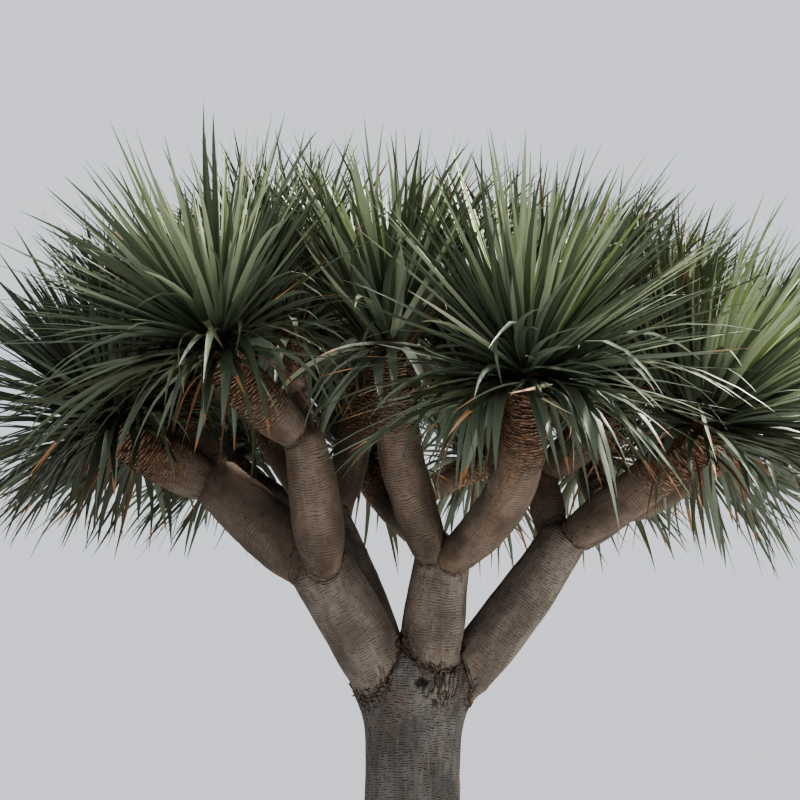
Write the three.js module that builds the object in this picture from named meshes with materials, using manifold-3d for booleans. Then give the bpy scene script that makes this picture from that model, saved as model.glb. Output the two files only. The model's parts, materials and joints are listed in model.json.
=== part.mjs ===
// A dragon tree about 4 m tall: one thick trunk, five boughs, forking limbs that swell and pinch like sausages,
// and a rosette of sword-shaped leaves at the end of each limb.
// Millimetres, +Z up. The origin is the middle of the flat cut under the trunk, at ground level.
// +X is to the right and +Y away, seen from the front.

import * as THREE from "three";
import { mergeVertices } from "three/addons/utils/BufferGeometryUtils.js";
import Module from "manifold-3d";

const wasm = await Module();
wasm.setup();

// Driving dimensions
const TRUNK_RADIUS = 168; // at chest height
const TRUNK_HEIGHT = 2090; // to the top of the crotch between the boughs
const HEART = new THREE.Vector3(12, 0, 1890); // where the boughs' centre lines meet, inside the trunk
const GAP = 0.3; // between two solids that touch on the real tree
const LEAF_LENGTH = 760;
const LEAF_GAIN = 0.03; // longer leaves towards +X: share of the length gained with each metre
const LEAF_WIDTH = 64;
const LEAF_THICKNESS = 9;
const LEAVES = 25; // in one rosette

// Trunk outline: share of the height, and radius as a share of the radius at chest height
const TRUNK_OUTLINE = [
  [0, 1.62],
  [0.05, 1.32],
  [0.16, 1.12],
  [0.4, 1.03],
  [0.8, 1],
  [0.87, 1.03],
  [0.9, 1.12],
  [0.93, 1.28],
  [0.96, 1.25],
  [0.985, 1.02],
];
const TRUNK_SIDES = 14;
const ROOT_LOBES = 5;
const ROOT_LOBE_DEPTH = 0.09; // share of the radius, at the ground
const FLARE_HEIGHT = 0.16; // share of the height above which the trunk is round

// Limbs. parent and at: the limb it grows from, and how far along that limb's centre line.
// aside: how far its foot stands off that centre line. turn: compass direction of the limb, in degrees from +X
// towards +Y. rise: degrees above level, foot to tip. lift and sway: degrees by which the limb curves upwards
// and round on its way. radius: foot, belly and tip.
// A limb with a rosette ends in a flat tip that carries it; one without ends in a rounded fork.
const limb = (parent, at, aside, turn, rise, lift, sway, length, radius, rosette = false) => ({
  parent, at, aside, turn, rise, lift, sway, length, radius, rosette,
});
const LIMBS = {
  bough_left: limb("trunk", 0, 85, -138, 51, -6, 0, 580, [80, 124, 114]),
  bough_left_back: limb("trunk", 0, 60, 137, 63, -6, 0, 840, [74, 78, 66]),
  bough_middle: limb("trunk", 0, 60, -71, 65, 6, 0, 565, [70, 114, 96]),
  bough_right: limb("trunk", 0, 80, -12, 51, 12, 0, 750, [72, 104, 88]),
  bough_back: limb("trunk", 0, 60, 80, 57, 6, 0, 820, [80, 84, 72]),
  fork_left: limb("bough_left", 0.96, 20, 155, 40, 4, 0, 565, [76, 112, 100]),
  fork_left_front: limb("bough_left", 0.9, 70, -102, 57, 10, -20, 515, [38, 92, 68]),
  fork_right: limb("bough_right", 0.98, 45, 115, 75, 4, 0, 300, [46, 64, 58]),
  fork_right_back: limb("bough_right", 1, 30, 41, 26, 8, 0, 335, [46, 68, 62]),
  limb_left_low: limb("fork_left", 1, 30, -150, 22, 14, 0, 355, [62, 92, 78], true),
  limb_left_high: limb("fork_left", 1, 10, 147, 60, 10, 0, 410, [59, 92, 80], true),
  limb_left_end: limb("fork_left", 0.95, 20, 123, 21, 18, 0, 790, [44, 66, 64], true),
  limb_left_front: limb("fork_left_front", 1, 20, -143, 35, 14, 0, 350, [52, 80, 70], true),
  limb_left_inner: limb("fork_left_front", 1, 20, 102, 46, 40, 0, 655, [36, 58, 60], true),
  limb_mid_left: limb("bough_left_back", 1, 10, 34, 76, 6, 0, 540, [49, 74, 64], true),
  limb_crown_left: limb("bough_left_back", 1, 20, 157, 56, 24, 0, 605, [43, 66, 64], true),
  limb_back_left: limb("bough_left_back", 1, 20, 130, 25, 24, 0, 815, [41, 68, 64], true),
  limb_back_mid: limb("bough_back", 1, 20, 120, 35, 20, 0, 690, [48, 70, 64], true),
  limb_front_left: limb("bough_middle", 0.92, 40, -117, 60, 16, 36, 725, [57, 80, 68], true),
  limb_front_right: limb("bough_middle", 0.92, 40, -70, 31, 30, -44, 800, [57, 82, 68], true),
  limb_crown_mid: limb("limb_front_right", 0.5, 20, 66, 56, 24, 0, 620, [34, 56, 62], true),
  limb_right_inner: limb("fork_right", 1, 10, -39, 35, 30, 0, 370, [44, 74, 68], true),
  limb_right_high: limb("fork_right", 1, 20, 48, 43, 30, 0, 485, [41, 64, 64], true),
  limb_right_low: limb("bough_right", 1, 20, -44, 25, 8, 0, 620, [49, 80, 80], true),
  limb_right_end: limb("fork_right_back", 1, 10, -7, 31, 14, 0, 505, [43, 68, 66], true),
  limb_right_back: limb("fork_right_back", 1, 10, 50, 28, 26, 0, 650, [41, 66, 64], true),
  limb_back_inner: limb("fork_right", 1, 20, 116, 43, 24, 0, 625, [38, 60, 62], true),
  limb_back_right: limb("fork_right_back", 1, 20, 90, 25, 30, 0, 860, [44, 66, 64], true),
  limb_back_end: limb("limb_back_mid", 0.45, 20, 47, 31, -24, 0, 565, [36, 58, 60], true),
};
const LIMB_SIDES = 7;
const BELLY_AT = 0.42; // share of a limb's length where it is widest
const PINCH = 0.8; // the lower, the more suddenly a limb swells from its foot
const LIMB_RINGS = [0, 0.16, BELLY_AT, 0.72, 1]; // shares of the length where its outline has a corner
const FORK_DOME = 0.5; // height of a fork's rounded end, as a share of its tip radius
const FORK_SHOULDER = [0.62, 0.8]; // on the rounded end: share of the tip radius, share of the dome's height

// Rosette
const HEAD_LENGTH = 150; // the leafy end of the stem that the leaves stand on
const HEAD_SIDES = 6;
const HEAD_OUTLINE = [[0, 0], [1, 0], [0.92, 0.66], [0, 1]]; // shares of the tip radius and of the length
const HEAD_BEND = 1.6; // how soon the head has turned from the limb's direction to the rosette's axis
const HUB_AT = 0.7; // share of the head's length where the middle of the leaves lies
const HEAD_UPRIGHT = 0.62; // how far a rosette's axis leans from the limb's direction towards straight up
const HEAD_ASIDE = [0.02, 0.17]; // the axis's further lean towards +X: at x = 0, and with each metre of x
const GOLDEN_TURN = Math.PI * (3 - Math.sqrt(5)); // turn from each leaf to the next younger one
const POLAR_YOUNG = THREE.MathUtils.degToRad(10); // angle of the youngest leaf from the rosette's axis
const POLAR_OLD = THREE.MathUtils.degToRad(106);
const POLAR_LAW = 0.8; // under 1, the angle grows faster from leaf to leaf near the axis than further out
const FIRST_LEAF = new THREE.Vector3(0.3, 1, 0); // the leaves' turns are counted from a line square to this
const TURN_JITTER = 0.15; // radians
const LENGTH_JITTER = 0.07; // share of the length
const FIRST_SEED = 11;
const LOWEST_START = -0.28; // sine of the steepest fall of a leaf where it leaves the head
const DROOP = [0.02, 0.24]; // fall of a leaf's tip: of every leaf, and the oldest's further one
const CURVE_AT = [0.5, 0.97]; // shares of the length where a leaf's curve bends, and where it ends
const ROOT_HEIGHT = [0.35, 0.45]; // along the head: of a leaf square to the axis, and the youngest's further up
const ROOT_RADIUS = 0.66; // share of the head's radius, so that roots are sunk well in
const YOUNGEST_SHARE = 0.78; // length of the youngest leaf, still growing, as a share of a full one
const GROWN_AGE = 0.11; // share of the leaves that are still growing
const STRAIGHT_SHARE = 0.55; // the youngest leaves, straight enough for one joint in their blade
const SPACE_MARGIN = 4; // from a leaf to the plane between two rosettes
const LIMB_MARGIN = 12; // from a leaf to a limb
const OWN_TIP = 0.96; // share of its own limb past which a rosette's leaves may touch it
const BALL_STEP = 60; // between the balls that stand for a limb when a leaf is tested
const TESTED = { from: 0.12, points: 9, taper: 1.6 }; // where a leaf is tested, and how fast it narrows there
const RAISES = 4; // tries at standing a leaf up before it is cut shorter
const HIGHEST_RAISE = 0.7;
const REACHES = [1, 0.84, 0.68, 0.52]; // shares of its length that a leaf is cut to
const FREE_FROM = 0.1; // share of a leaf's length where it is clear of its neighbours

const UP = new THREE.Vector3(0, 0, 1);

// A seeded source of numbers from 0 to 1
function randomFrom(seed) {
  let state = seed;
  return () => {
    state = (state + 0x6d2b79f5) | 0;
    let mixed = Math.imul(state ^ (state >>> 15), 1 | state);
    mixed = (mixed + Math.imul(mixed ^ (mixed >>> 7), 61 | mixed)) ^ mixed;
    return ((mixed ^ (mixed >>> 14)) >>> 0) / 4294967296;
  };
}

// A unit vector from a compass turn and a rise, both in radians
function heading(turn, rise) {
  return new THREE.Vector3(
    Math.cos(turn) * Math.cos(rise),
    Math.sin(turn) * Math.cos(rise),
    Math.sin(rise),
  );
}

// A closed geometry as a solid of the boolean library, and back
function solidOf(geometry) {
  const bare = geometry.clone();
  bare.deleteAttribute("normal");
  bare.deleteAttribute("uv");
  const merged = mergeVertices(bare, 1e-4);
  return new wasm.Manifold(
    new wasm.Mesh({
      numProp: 3,
      vertProperties: new Float32Array(merged.attributes.position.array),
      triVerts: new Uint32Array(merged.index.array),
    }),
  );
}

function geometryOf(solid, origin) {
  const mesh = solid.getMesh();
  const geometry = new THREE.BufferGeometry();
  geometry.setAttribute("position", new THREE.BufferAttribute(mesh.vertProperties, 3));
  geometry.setIndex(new THREE.BufferAttribute(mesh.triVerts, 1));
  geometry.translate(-origin.x, -origin.y, -origin.z);
  return geometry;
}

const largest = (solid) => solid.decompose().reduce((a, b) => (b.volume() > a.volume() ? b : a));

// The centre line of a limb: an arc whose chord has the limb's length, turn and rise
function spineOf(name) {
  const { parent, at, aside, turn, rise, lift, sway, length } = LIMBS[name];
  const [compass, climb, bend, swing] = [turn, rise, lift, sway].map(THREE.MathUtils.degToRad);
  const foot = parent === "trunk" ? HEART.clone() : spineOf(parent).pointAt(at);
  foot.addScaledVector(heading(compass, 0), aside);
  const side = new THREE.Vector3(-Math.sin(compass), Math.cos(compass), 0);
  const chord = heading(compass, climb);
  const below = new THREE.Vector3().crossVectors(side, chord);
  const bow = below.clone() // from the chord to the middle of the arc
    .multiplyScalar((length / 8) * bend)
    .addScaledVector(side, (-length / 8) * swing * Math.cos(climb));
  const held = (share) => THREE.MathUtils.clamp(share, 0, 1);
  const directionAt = (share) =>
    heading(compass + swing * (held(share) - 0.5), climb + bend * (held(share) - 0.5));
  const pointAt = (share) =>
    foot.clone()
      .addScaledVector(chord, length * share)
      .addScaledVector(bow, 4 * held(share) * (1 - held(share)));
  return { pointAt, directionAt, side, length };
}

// Places a geometry turned about the Y axis along a spine, its Y running along the spine
function alongSpine(geometry, spine) {
  const position = geometry.attributes.position;
  for (let i = 0; i < position.count; i++) {
    const share = position.getY(i) / spine.length;
    const along = spine.directionAt(share);
    const side = spine.side.clone().addScaledVector(along, -spine.side.dot(along)).normalize();
    const across = new THREE.Vector3().crossVectors(side, along);
    const place = spine.pointAt(share)
      .addScaledVector(side, position.getX(i))
      .addScaledVector(across, position.getZ(i));
    position.setXYZ(i, place.x, place.y, place.z);
  }
  return geometry;
}

// Radius of a limb at a share of its length: pinched at the foot, widest at the belly
function radiusAt(name, share) {
  const [foot, belly, tip] = LIMBS[name].radius;
  const swell = (x) => Math.sin((Math.PI / 2) * Math.min(Math.max(x, 0), 1));
  return share < BELLY_AT
    ? foot + (belly - foot) * swell(Math.max(share / BELLY_AT, 0) ** PINCH)
    : tip + (belly - tip) * swell((1 - share) / (1 - BELLY_AT));
}

function limbGeometry(name, grow) {
  const { length, rosette } = LIMBS[name];
  const profile = [new THREE.Vector2(0, -grow)];
  for (const share of LIMB_RINGS) {
    profile.push(new THREE.Vector2(radiusAt(name, share) + grow, share === 0 ? -grow : length * share));
  }
  const tip = radiusAt(name, 1);
  if (rosette) {
    profile[profile.length - 1].y += grow;
    profile.push(new THREE.Vector2(0, length + grow));
  } else {
    const [shoulder, height] = FORK_SHOULDER;
    profile.push(new THREE.Vector2(tip * shoulder + grow, length + tip * FORK_DOME * height));
    profile.push(new THREE.Vector2(0, length + tip * FORK_DOME + grow));
  }
  return alongSpine(new THREE.LatheGeometry(profile, LIMB_SIDES), spineOf(name));
}

function trunkGeometry(grow) {
  const profile = TRUNK_OUTLINE.map(
    ([share, radius]) => new THREE.Vector2(radius * TRUNK_RADIUS + grow, share * TRUNK_HEIGHT),
  );
  profile.unshift(new THREE.Vector2(0, 0));
  profile.push(new THREE.Vector2(0, TRUNK_HEIGHT + grow));
  const geometry = new THREE.LatheGeometry(profile, TRUNK_SIDES);
  geometry.rotateX(Math.PI / 2);
  const position = geometry.attributes.position;
  for (let i = 0; i < position.count; i++) {
    const [x, y, z] = [position.getX(i), position.getY(i), position.getZ(i)];
    const nearGround = Math.max(0, 1 - z / (FLARE_HEIGHT * TRUNK_HEIGHT));
    const lobe = 1 + ROOT_LOBE_DEPTH * nearGround * Math.cos(ROOT_LOBES * Math.atan2(y, x));
    position.setXYZ(i, x * lobe, y * lobe, z);
  }
  return geometry;
}

// Every limb is cut clear of those made before it, so that they meet face to face
function woodSolids() {
  const wood = new Map([["trunk", solidOf(trunkGeometry(0))]]);
  const grown = [solidOf(trunkGeometry(GAP))];
  for (const name of Object.keys(LIMBS)) {
    const whole = solidOf(limbGeometry(name, 0));
    wood.set(name, largest(grown.reduce((rest, other) => rest.subtract(other), whole)));
    grown.push(solidOf(limbGeometry(name, GAP)));
  }
  return wood;
}

// Where a rosette stands, and the axis that its leaves are set about
function rosetteAt(name) {
  const spine = spineOf(name);
  const along = spine.directionAt(1);
  const base = spine.pointAt(1).addScaledVector(along, GAP);
  const axis = along.clone().lerp(UP, HEAD_UPRIGHT);
  axis.setX(axis.x + HEAD_ASIDE[0] + (HEAD_ASIDE[1] * base.x) / 1000).normalize();
  const hub = base.clone().addScaledVector(axis, HEAD_LENGTH * HUB_AT);
  return { base, along, axis, hub, spine };
}

// The end of the stem, from the limb's flat tip, turning towards the rosette's axis
function headGeometry(name) {
  const { base, along, axis, spine } = rosetteAt(name);
  const radius = radiusAt(name, 1);
  const profile = HEAD_OUTLINE.map(([r, h]) => new THREE.Vector2(r * radius, h * HEAD_LENGTH));
  const bent = {
    length: HEAD_LENGTH,
    side: spine.side,
    directionAt: (share) => along.clone().lerp(axis, Math.min(share * HEAD_BEND, 1)).normalize(),
    pointAt: (share) =>
      base.clone()
        .addScaledVector(along, HEAD_LENGTH * share * (1 - share))
        .addScaledVector(axis, HEAD_LENGTH * share * share),
  };
  return alongSpine(new THREE.LatheGeometry(profile, HEAD_SIDES), bent);
}

// Blade of a leaf: a three-sided sword, flat above and keeled below, on a curve.
// Stations are shares of the length, with the width there as a share of the full width.
const STRAIGHT_BLADE = [[0, 0.27], [0.36, 1], [1, 0]];
const ARCHED_BLADE = [[0, 0.27], [0.3, 1], [0.68, 0.74], [1, 0]];
const BLADE_SIDES = 3;
const KEEL_DEPTH = 2 / 3; // share of the thickness from the middle line to a corner of the section

function leafGeometry({ stations, curve, side }) {
  const joints = stations.length - 1;
  const geometry = new THREE.CylinderGeometry(0, 1, 1, BLADE_SIDES, joints);
  const position = geometry.attributes.position;
  for (let i = 0; i < position.count; i++) {
    const joint = Math.round((position.getY(i) + 0.5) * joints);
    const [share, width] = stations[joint];
    const [x, z] = [position.getX(i), position.getZ(i)];
    const reach = Math.hypot(x, z) || 1;
    const under = new THREE.Vector3().crossVectors(side, curve.getTangent(share)).normalize();
    const thick = LEAF_THICKNESS * (width > 0 ? 1 : 0);
    const place = curve.getPoint(share)
      .addScaledVector(side, (x / reach / Math.sin(Math.PI / BLADE_SIDES)) * (width * LEAF_WIDTH) / 2)
      .addScaledVector(under, (z / reach) * thick * KEEL_DEPTH);
    position.setXYZ(i, place.x, place.y, place.z);
  }
  return geometry;
}

// Points down the middle and both edges of a leaf, to test where it goes
function* pointsOf(leaf) {
  for (let i = 0; i < TESTED.points; i++) {
    const share = THREE.MathUtils.lerp(TESTED.from, 1, i / (TESTED.points - 1));
    const middle = leaf.curve.getPoint(share);
    const half = (LEAF_WIDTH / 2) * Math.min(1, (1 - share) * TESTED.taper);
    for (const k of [-1, 0, 1]) yield middle.clone().addScaledVector(leaf.side, k * half);
  }
}

const carriers = Object.keys(LIMBS).filter((name) => LIMBS[name].rosette);
const hubs = new Map(carriers.map((name) => [name, rosetteAt(name).hub]));

// Balls down every limb and the trunk, which no leaf may touch
const limbBalls = Object.keys(LIMBS).flatMap((name) => {
  const spine = spineOf(name);
  const steps = Math.ceil(spine.length / BALL_STEP);
  return Array.from({ length: steps + 1 }, (_, i) => ({
    name,
    share: i / steps,
    centre: spine.pointAt(i / steps),
    radius: radiusAt(name, i / steps),
  }));
});

// A rosette keeps to the points that lie nearer to its own hub than to any other
function keepsToItsSpace(name, leaf) {
  const own = hubs.get(name);
  for (const point of pointsOf(leaf)) {
    for (const [other, hub] of hubs) {
      if (other === name) continue;
      const towards = hub.clone().sub(own);
      const half = towards.length() / 2;
      if (point.clone().sub(own).dot(towards.normalize()) > half - SPACE_MARGIN) return false;
    }
    for (const ball of limbBalls) {
      if (ball.name === name && ball.share > OWN_TIP) continue;
      if (point.distanceTo(ball.centre) < ball.radius + LIMB_MARGIN) return false;
    }
  }
  return true;
}

// One leaf: it leaves the head at an angle that grows with its age, and the old ones arch down
function leafAt(name, index, raise, reach, jitter) {
  const { base, axis } = rosetteAt(name);
  const age = (index + 0.5) / LEAVES;
  const polar = THREE.MathUtils.lerp(POLAR_YOUNG, POLAR_OLD, age ** POLAR_LAW);
  const round = index * GOLDEN_TURN + jitter.turn;
  const east = new THREE.Vector3().crossVectors(axis, FIRST_LEAF).normalize();
  const north = new THREE.Vector3().crossVectors(axis, east);
  const outward = east.multiplyScalar(Math.cos(round)).addScaledVector(north, Math.sin(round));
  const start = axis.clone()
    .multiplyScalar(Math.cos(polar))
    .addScaledVector(outward, Math.sin(polar))
    .lerp(UP, raise);
  start.setZ(Math.max(start.z, LOWEST_START)).normalize();
  const grown = THREE.MathUtils.lerp(YOUNGEST_SHARE, 1, Math.min(age / GROWN_AGE, 1));
  const gain = 1 + (LEAF_GAIN * base.x) / 1000;
  const length = LEAF_LENGTH * gain * reach * jitter.length * grown;
  const droop = length * (DROOP[0] + DROOP[1] * age * age) * (1 - raise);
  const root = base.clone()
    .addScaledVector(axis, HEAD_LENGTH * (ROOT_HEIGHT[0] + ROOT_HEIGHT[1] * Math.cos(polar)))
    .addScaledVector(outward, radiusAt(name, 1) * ROOT_RADIUS * Math.sin(polar));
  const curve = new THREE.QuadraticBezierCurve3(
    root,
    root.clone().addScaledVector(start, length * CURVE_AT[0]),
    root.clone().addScaledVector(start, length * CURVE_AT[1]).addScaledVector(UP, -droop),
  );
  const side = new THREE.Vector3().crossVectors(axis, outward);
  side.addScaledVector(start, -side.dot(start)).normalize();
  return { curve, side, stations: age < STRAIGHT_SHARE ? STRAIGHT_BLADE : ARCHED_BLADE };
}

// The free part of a leaf, past the crowd of roots on the head
function bladeSolid(leaf) {
  const free = leaf.stations.map(([share, width]) => [Math.max(share, FREE_FROM), width]);
  return solidOf(leafGeometry({ ...leaf, stations: free }));
}

// A leaf that would leave its rosette's space, or touch a leaf that stands there, is stood up,
// then cut shorter, and at last skipped
function placedLeaf(name, index, jitter, blades) {
  for (const reach of REACHES) {
    for (let step = 0; step <= RAISES; step++) {
      const leaf = leafAt(name, index, (HIGHEST_RAISE * step) / RAISES, reach, jitter);
      if (!keepsToItsSpace(name, leaf)) continue;
      const blade = bladeSolid(leaf);
      if (blades.every((other) => blade.intersect(other).isEmpty())) {
        blades.push(blade);
        return leaf;
      }
    }
  }
  return null;
}

function rosetteSolid(name, seed) {
  const random = randomFrom(seed);
  const solids = [solidOf(headGeometry(name))];
  const blades = [];
  for (let index = 0; index < LEAVES; index++) {
    const jitter = { turn: (2 * random() - 1) * TURN_JITTER, length: 1 - LENGTH_JITTER * random() };
    const leaf = placedLeaf(name, index, jitter, blades);
    if (leaf) solids.push(solidOf(leafGeometry(leaf)));
  }
  return largest(wasm.Manifold.union(solids).subtract(solidOf(limbGeometry(name, GAP))));
}

const finish = (colour, roughness) => new THREE.MeshStandardMaterial({ color: colour, roughness, metalness: 0 });
const trunkBark = finish(0x8f7f72, 0.95);
const limbBark = finish(0x8a7868, 0.95);
const foliage = finish(0x5d7361, 0.6);

const tree = new THREE.Group();

function addNode(name, solid, origin, material) {
  const mesh = new THREE.Mesh(geometryOf(solid, origin), material);
  mesh.name = name;
  mesh.position.copy(origin);
  tree.add(mesh);
}

for (const [name, solid] of woodSolids()) {
  const origin = name === "trunk" ? new THREE.Vector3() : spineOf(name).pointAt(0);
  addNode(name, solid, origin, name === "trunk" ? trunkBark : limbBark);
}
carriers.forEach((name, index) => {
  addNode(name.replace("limb", "rosette"), rosetteSolid(name, FIRST_SEED + index), rosetteAt(name).base, foliage);
});

export default tree;
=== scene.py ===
# %% [markdown]
# A dragon tree.
# The tree stands about 4 m tall: one thick trunk, five boughs, forking limbs that swell and pinch like
# sausages, and a rosette of sword-shaped leaves at the end of each limb.
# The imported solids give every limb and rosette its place. Each of them gets a finer piece here: bark with
# its rings, knots and seams, the scars of fallen leaves, and more leaves, each with its own curve. The file
# runs from top to bottom. Each step first says what the real thing is like, and how it is made.

# %% Loading the solids
import functools
import itertools
import json
import math
from collections import namedtuple

import bpy
import numpy as np
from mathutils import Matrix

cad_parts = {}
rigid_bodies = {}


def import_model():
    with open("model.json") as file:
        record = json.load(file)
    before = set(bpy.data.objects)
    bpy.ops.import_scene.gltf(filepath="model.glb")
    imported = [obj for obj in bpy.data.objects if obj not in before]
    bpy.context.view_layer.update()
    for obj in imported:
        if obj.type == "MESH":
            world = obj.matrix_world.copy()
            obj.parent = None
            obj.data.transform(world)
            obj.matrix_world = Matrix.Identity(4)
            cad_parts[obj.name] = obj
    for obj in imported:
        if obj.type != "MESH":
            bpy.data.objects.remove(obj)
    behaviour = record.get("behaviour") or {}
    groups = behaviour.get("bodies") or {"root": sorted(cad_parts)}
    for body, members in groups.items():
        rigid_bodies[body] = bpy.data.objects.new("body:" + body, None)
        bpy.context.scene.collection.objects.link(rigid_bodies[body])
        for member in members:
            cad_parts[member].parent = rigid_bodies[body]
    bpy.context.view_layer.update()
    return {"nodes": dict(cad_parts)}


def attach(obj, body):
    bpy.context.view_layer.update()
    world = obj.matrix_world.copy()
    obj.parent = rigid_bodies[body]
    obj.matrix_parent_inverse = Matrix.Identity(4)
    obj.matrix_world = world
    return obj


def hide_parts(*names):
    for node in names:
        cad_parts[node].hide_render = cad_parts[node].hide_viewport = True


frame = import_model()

print("solids:", len(frame["nodes"]))

# %% [markdown]
# Camera, floor and light.
# The tree is seen from eye level, 5 m away, with the camera tilted up, so the crown spreads overhead and
# the horizon lies near the lower edge of the picture. A wide pale sky is the main light, as on a clear day
# in the open shade. A lamp high up on the right stands for the sun: it is small, so the leaves get bright
# sides and drop clear shadows on the bark. A broad weak lamp at the front lifts the shadows a little.

# %% Camera
PICTURE_SIDE = 800
FOCAL_PIXELS = 1350
SENSOR = 36
EYE = (-0.044, -5.0, 1.6)
LOOK_UP = math.radians(16)

bpy.ops.object.select_all(action="DESELECT")
bpy.ops.object.camera_add(location=EYE, rotation=(math.pi / 2 + LOOK_UP, 0, 0))
camera = bpy.context.object
camera.name = "camera"
camera.data.sensor_width = SENSOR
camera.data.lens = SENSOR * FOCAL_PIXELS / PICTURE_SIDE
bpy.context.scene.camera = camera
print("lens:", round(camera.data.lens, 1), "mm")


# %% Light and floor
def area_lamp(name, place, aim, size, power, colour):
    bpy.ops.object.light_add(type="AREA", location=place)
    lamp = bpy.context.object
    lamp.name = name
    lamp.data.size = size
    lamp.data.energy = power
    lamp.data.color = colour
    direction = np.array(aim) - np.array(place)
    level = math.hypot(direction[0], direction[1])
    compass = math.atan2(direction[1], direction[0])
    lamp.rotation_euler = (math.atan2(level, -direction[2]), 0, compass - math.pi / 2)
    print(f"{name}: {power} W, {size} m across, {math.hypot(level, direction[2]):.1f} m away")


CROWN_MIDDLE = (0, 0, 3.0)
area_lamp("sun_side", (4.2, -0.5, 8.2), CROWN_MIDDLE, 0.7, 2360, (1.0, 0.96, 0.9))
area_lamp("front_fill", (2.0, -7.0, 2.5), (0, 0, 2.4), 5.0, 56, (0.95, 0.97, 1.0))

world = bpy.data.worlds.new("sky")
bpy.context.scene.world = world
world.use_nodes = True
sky = world.node_tree.nodes["Background"]
sky.inputs["Color"].default_value = (0.86, 0.9, 0.96, 1)
sky.inputs["Strength"].default_value = 0.9
bpy.context.scene.view_settings.look = "AgX - Medium High Contrast"

bpy.ops.mesh.primitive_plane_add(size=80)
floor = bpy.context.object
floor.name = "floor"
floor_paint = bpy.data.materials.new("floor_paint")
floor_paint.use_nodes = True
floor_paint.node_tree.nodes["Principled BSDF"].inputs["Base Color"].default_value = (0.6, 0.6, 0.58, 1)
floor_paint.node_tree.nodes["Principled BSDF"].inputs["Roughness"].default_value = 0.9
floor.data.materials.append(floor_paint)

# %% [markdown]
# The limbs' centre lines.
# A young stem grows straight until it flowers, then forks, so the tree is a chain of short limbs. Each is
# given by where it leaves its parent, its compass turn, its rise, how far it curves, its length, and its
# radius at the foot, the belly and the tip. These are the same sizes that the solids are worked out from,
# here in metres and degrees, and the next cells print how closely they meet.

# %% Sizes of the trunk and limbs
Limb = namedtuple("Limb", "parent at aside turn rise lift sway length radius")

HEART = np.array([0.012, 0, 1.89])
TRUNK_RADIUS = 0.168
TRUNK_HEIGHT = 2.09
TRUNK_OUTLINE = [
    (0, 1.62), (0.05, 1.32), (0.16, 1.12), (0.4, 1.03), (0.8, 1), (0.87, 1.03),
    (0.9, 1.12), (0.93, 1.28), (0.96, 1.25), (0.985, 1.02), (1, 0.5),
]

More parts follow.
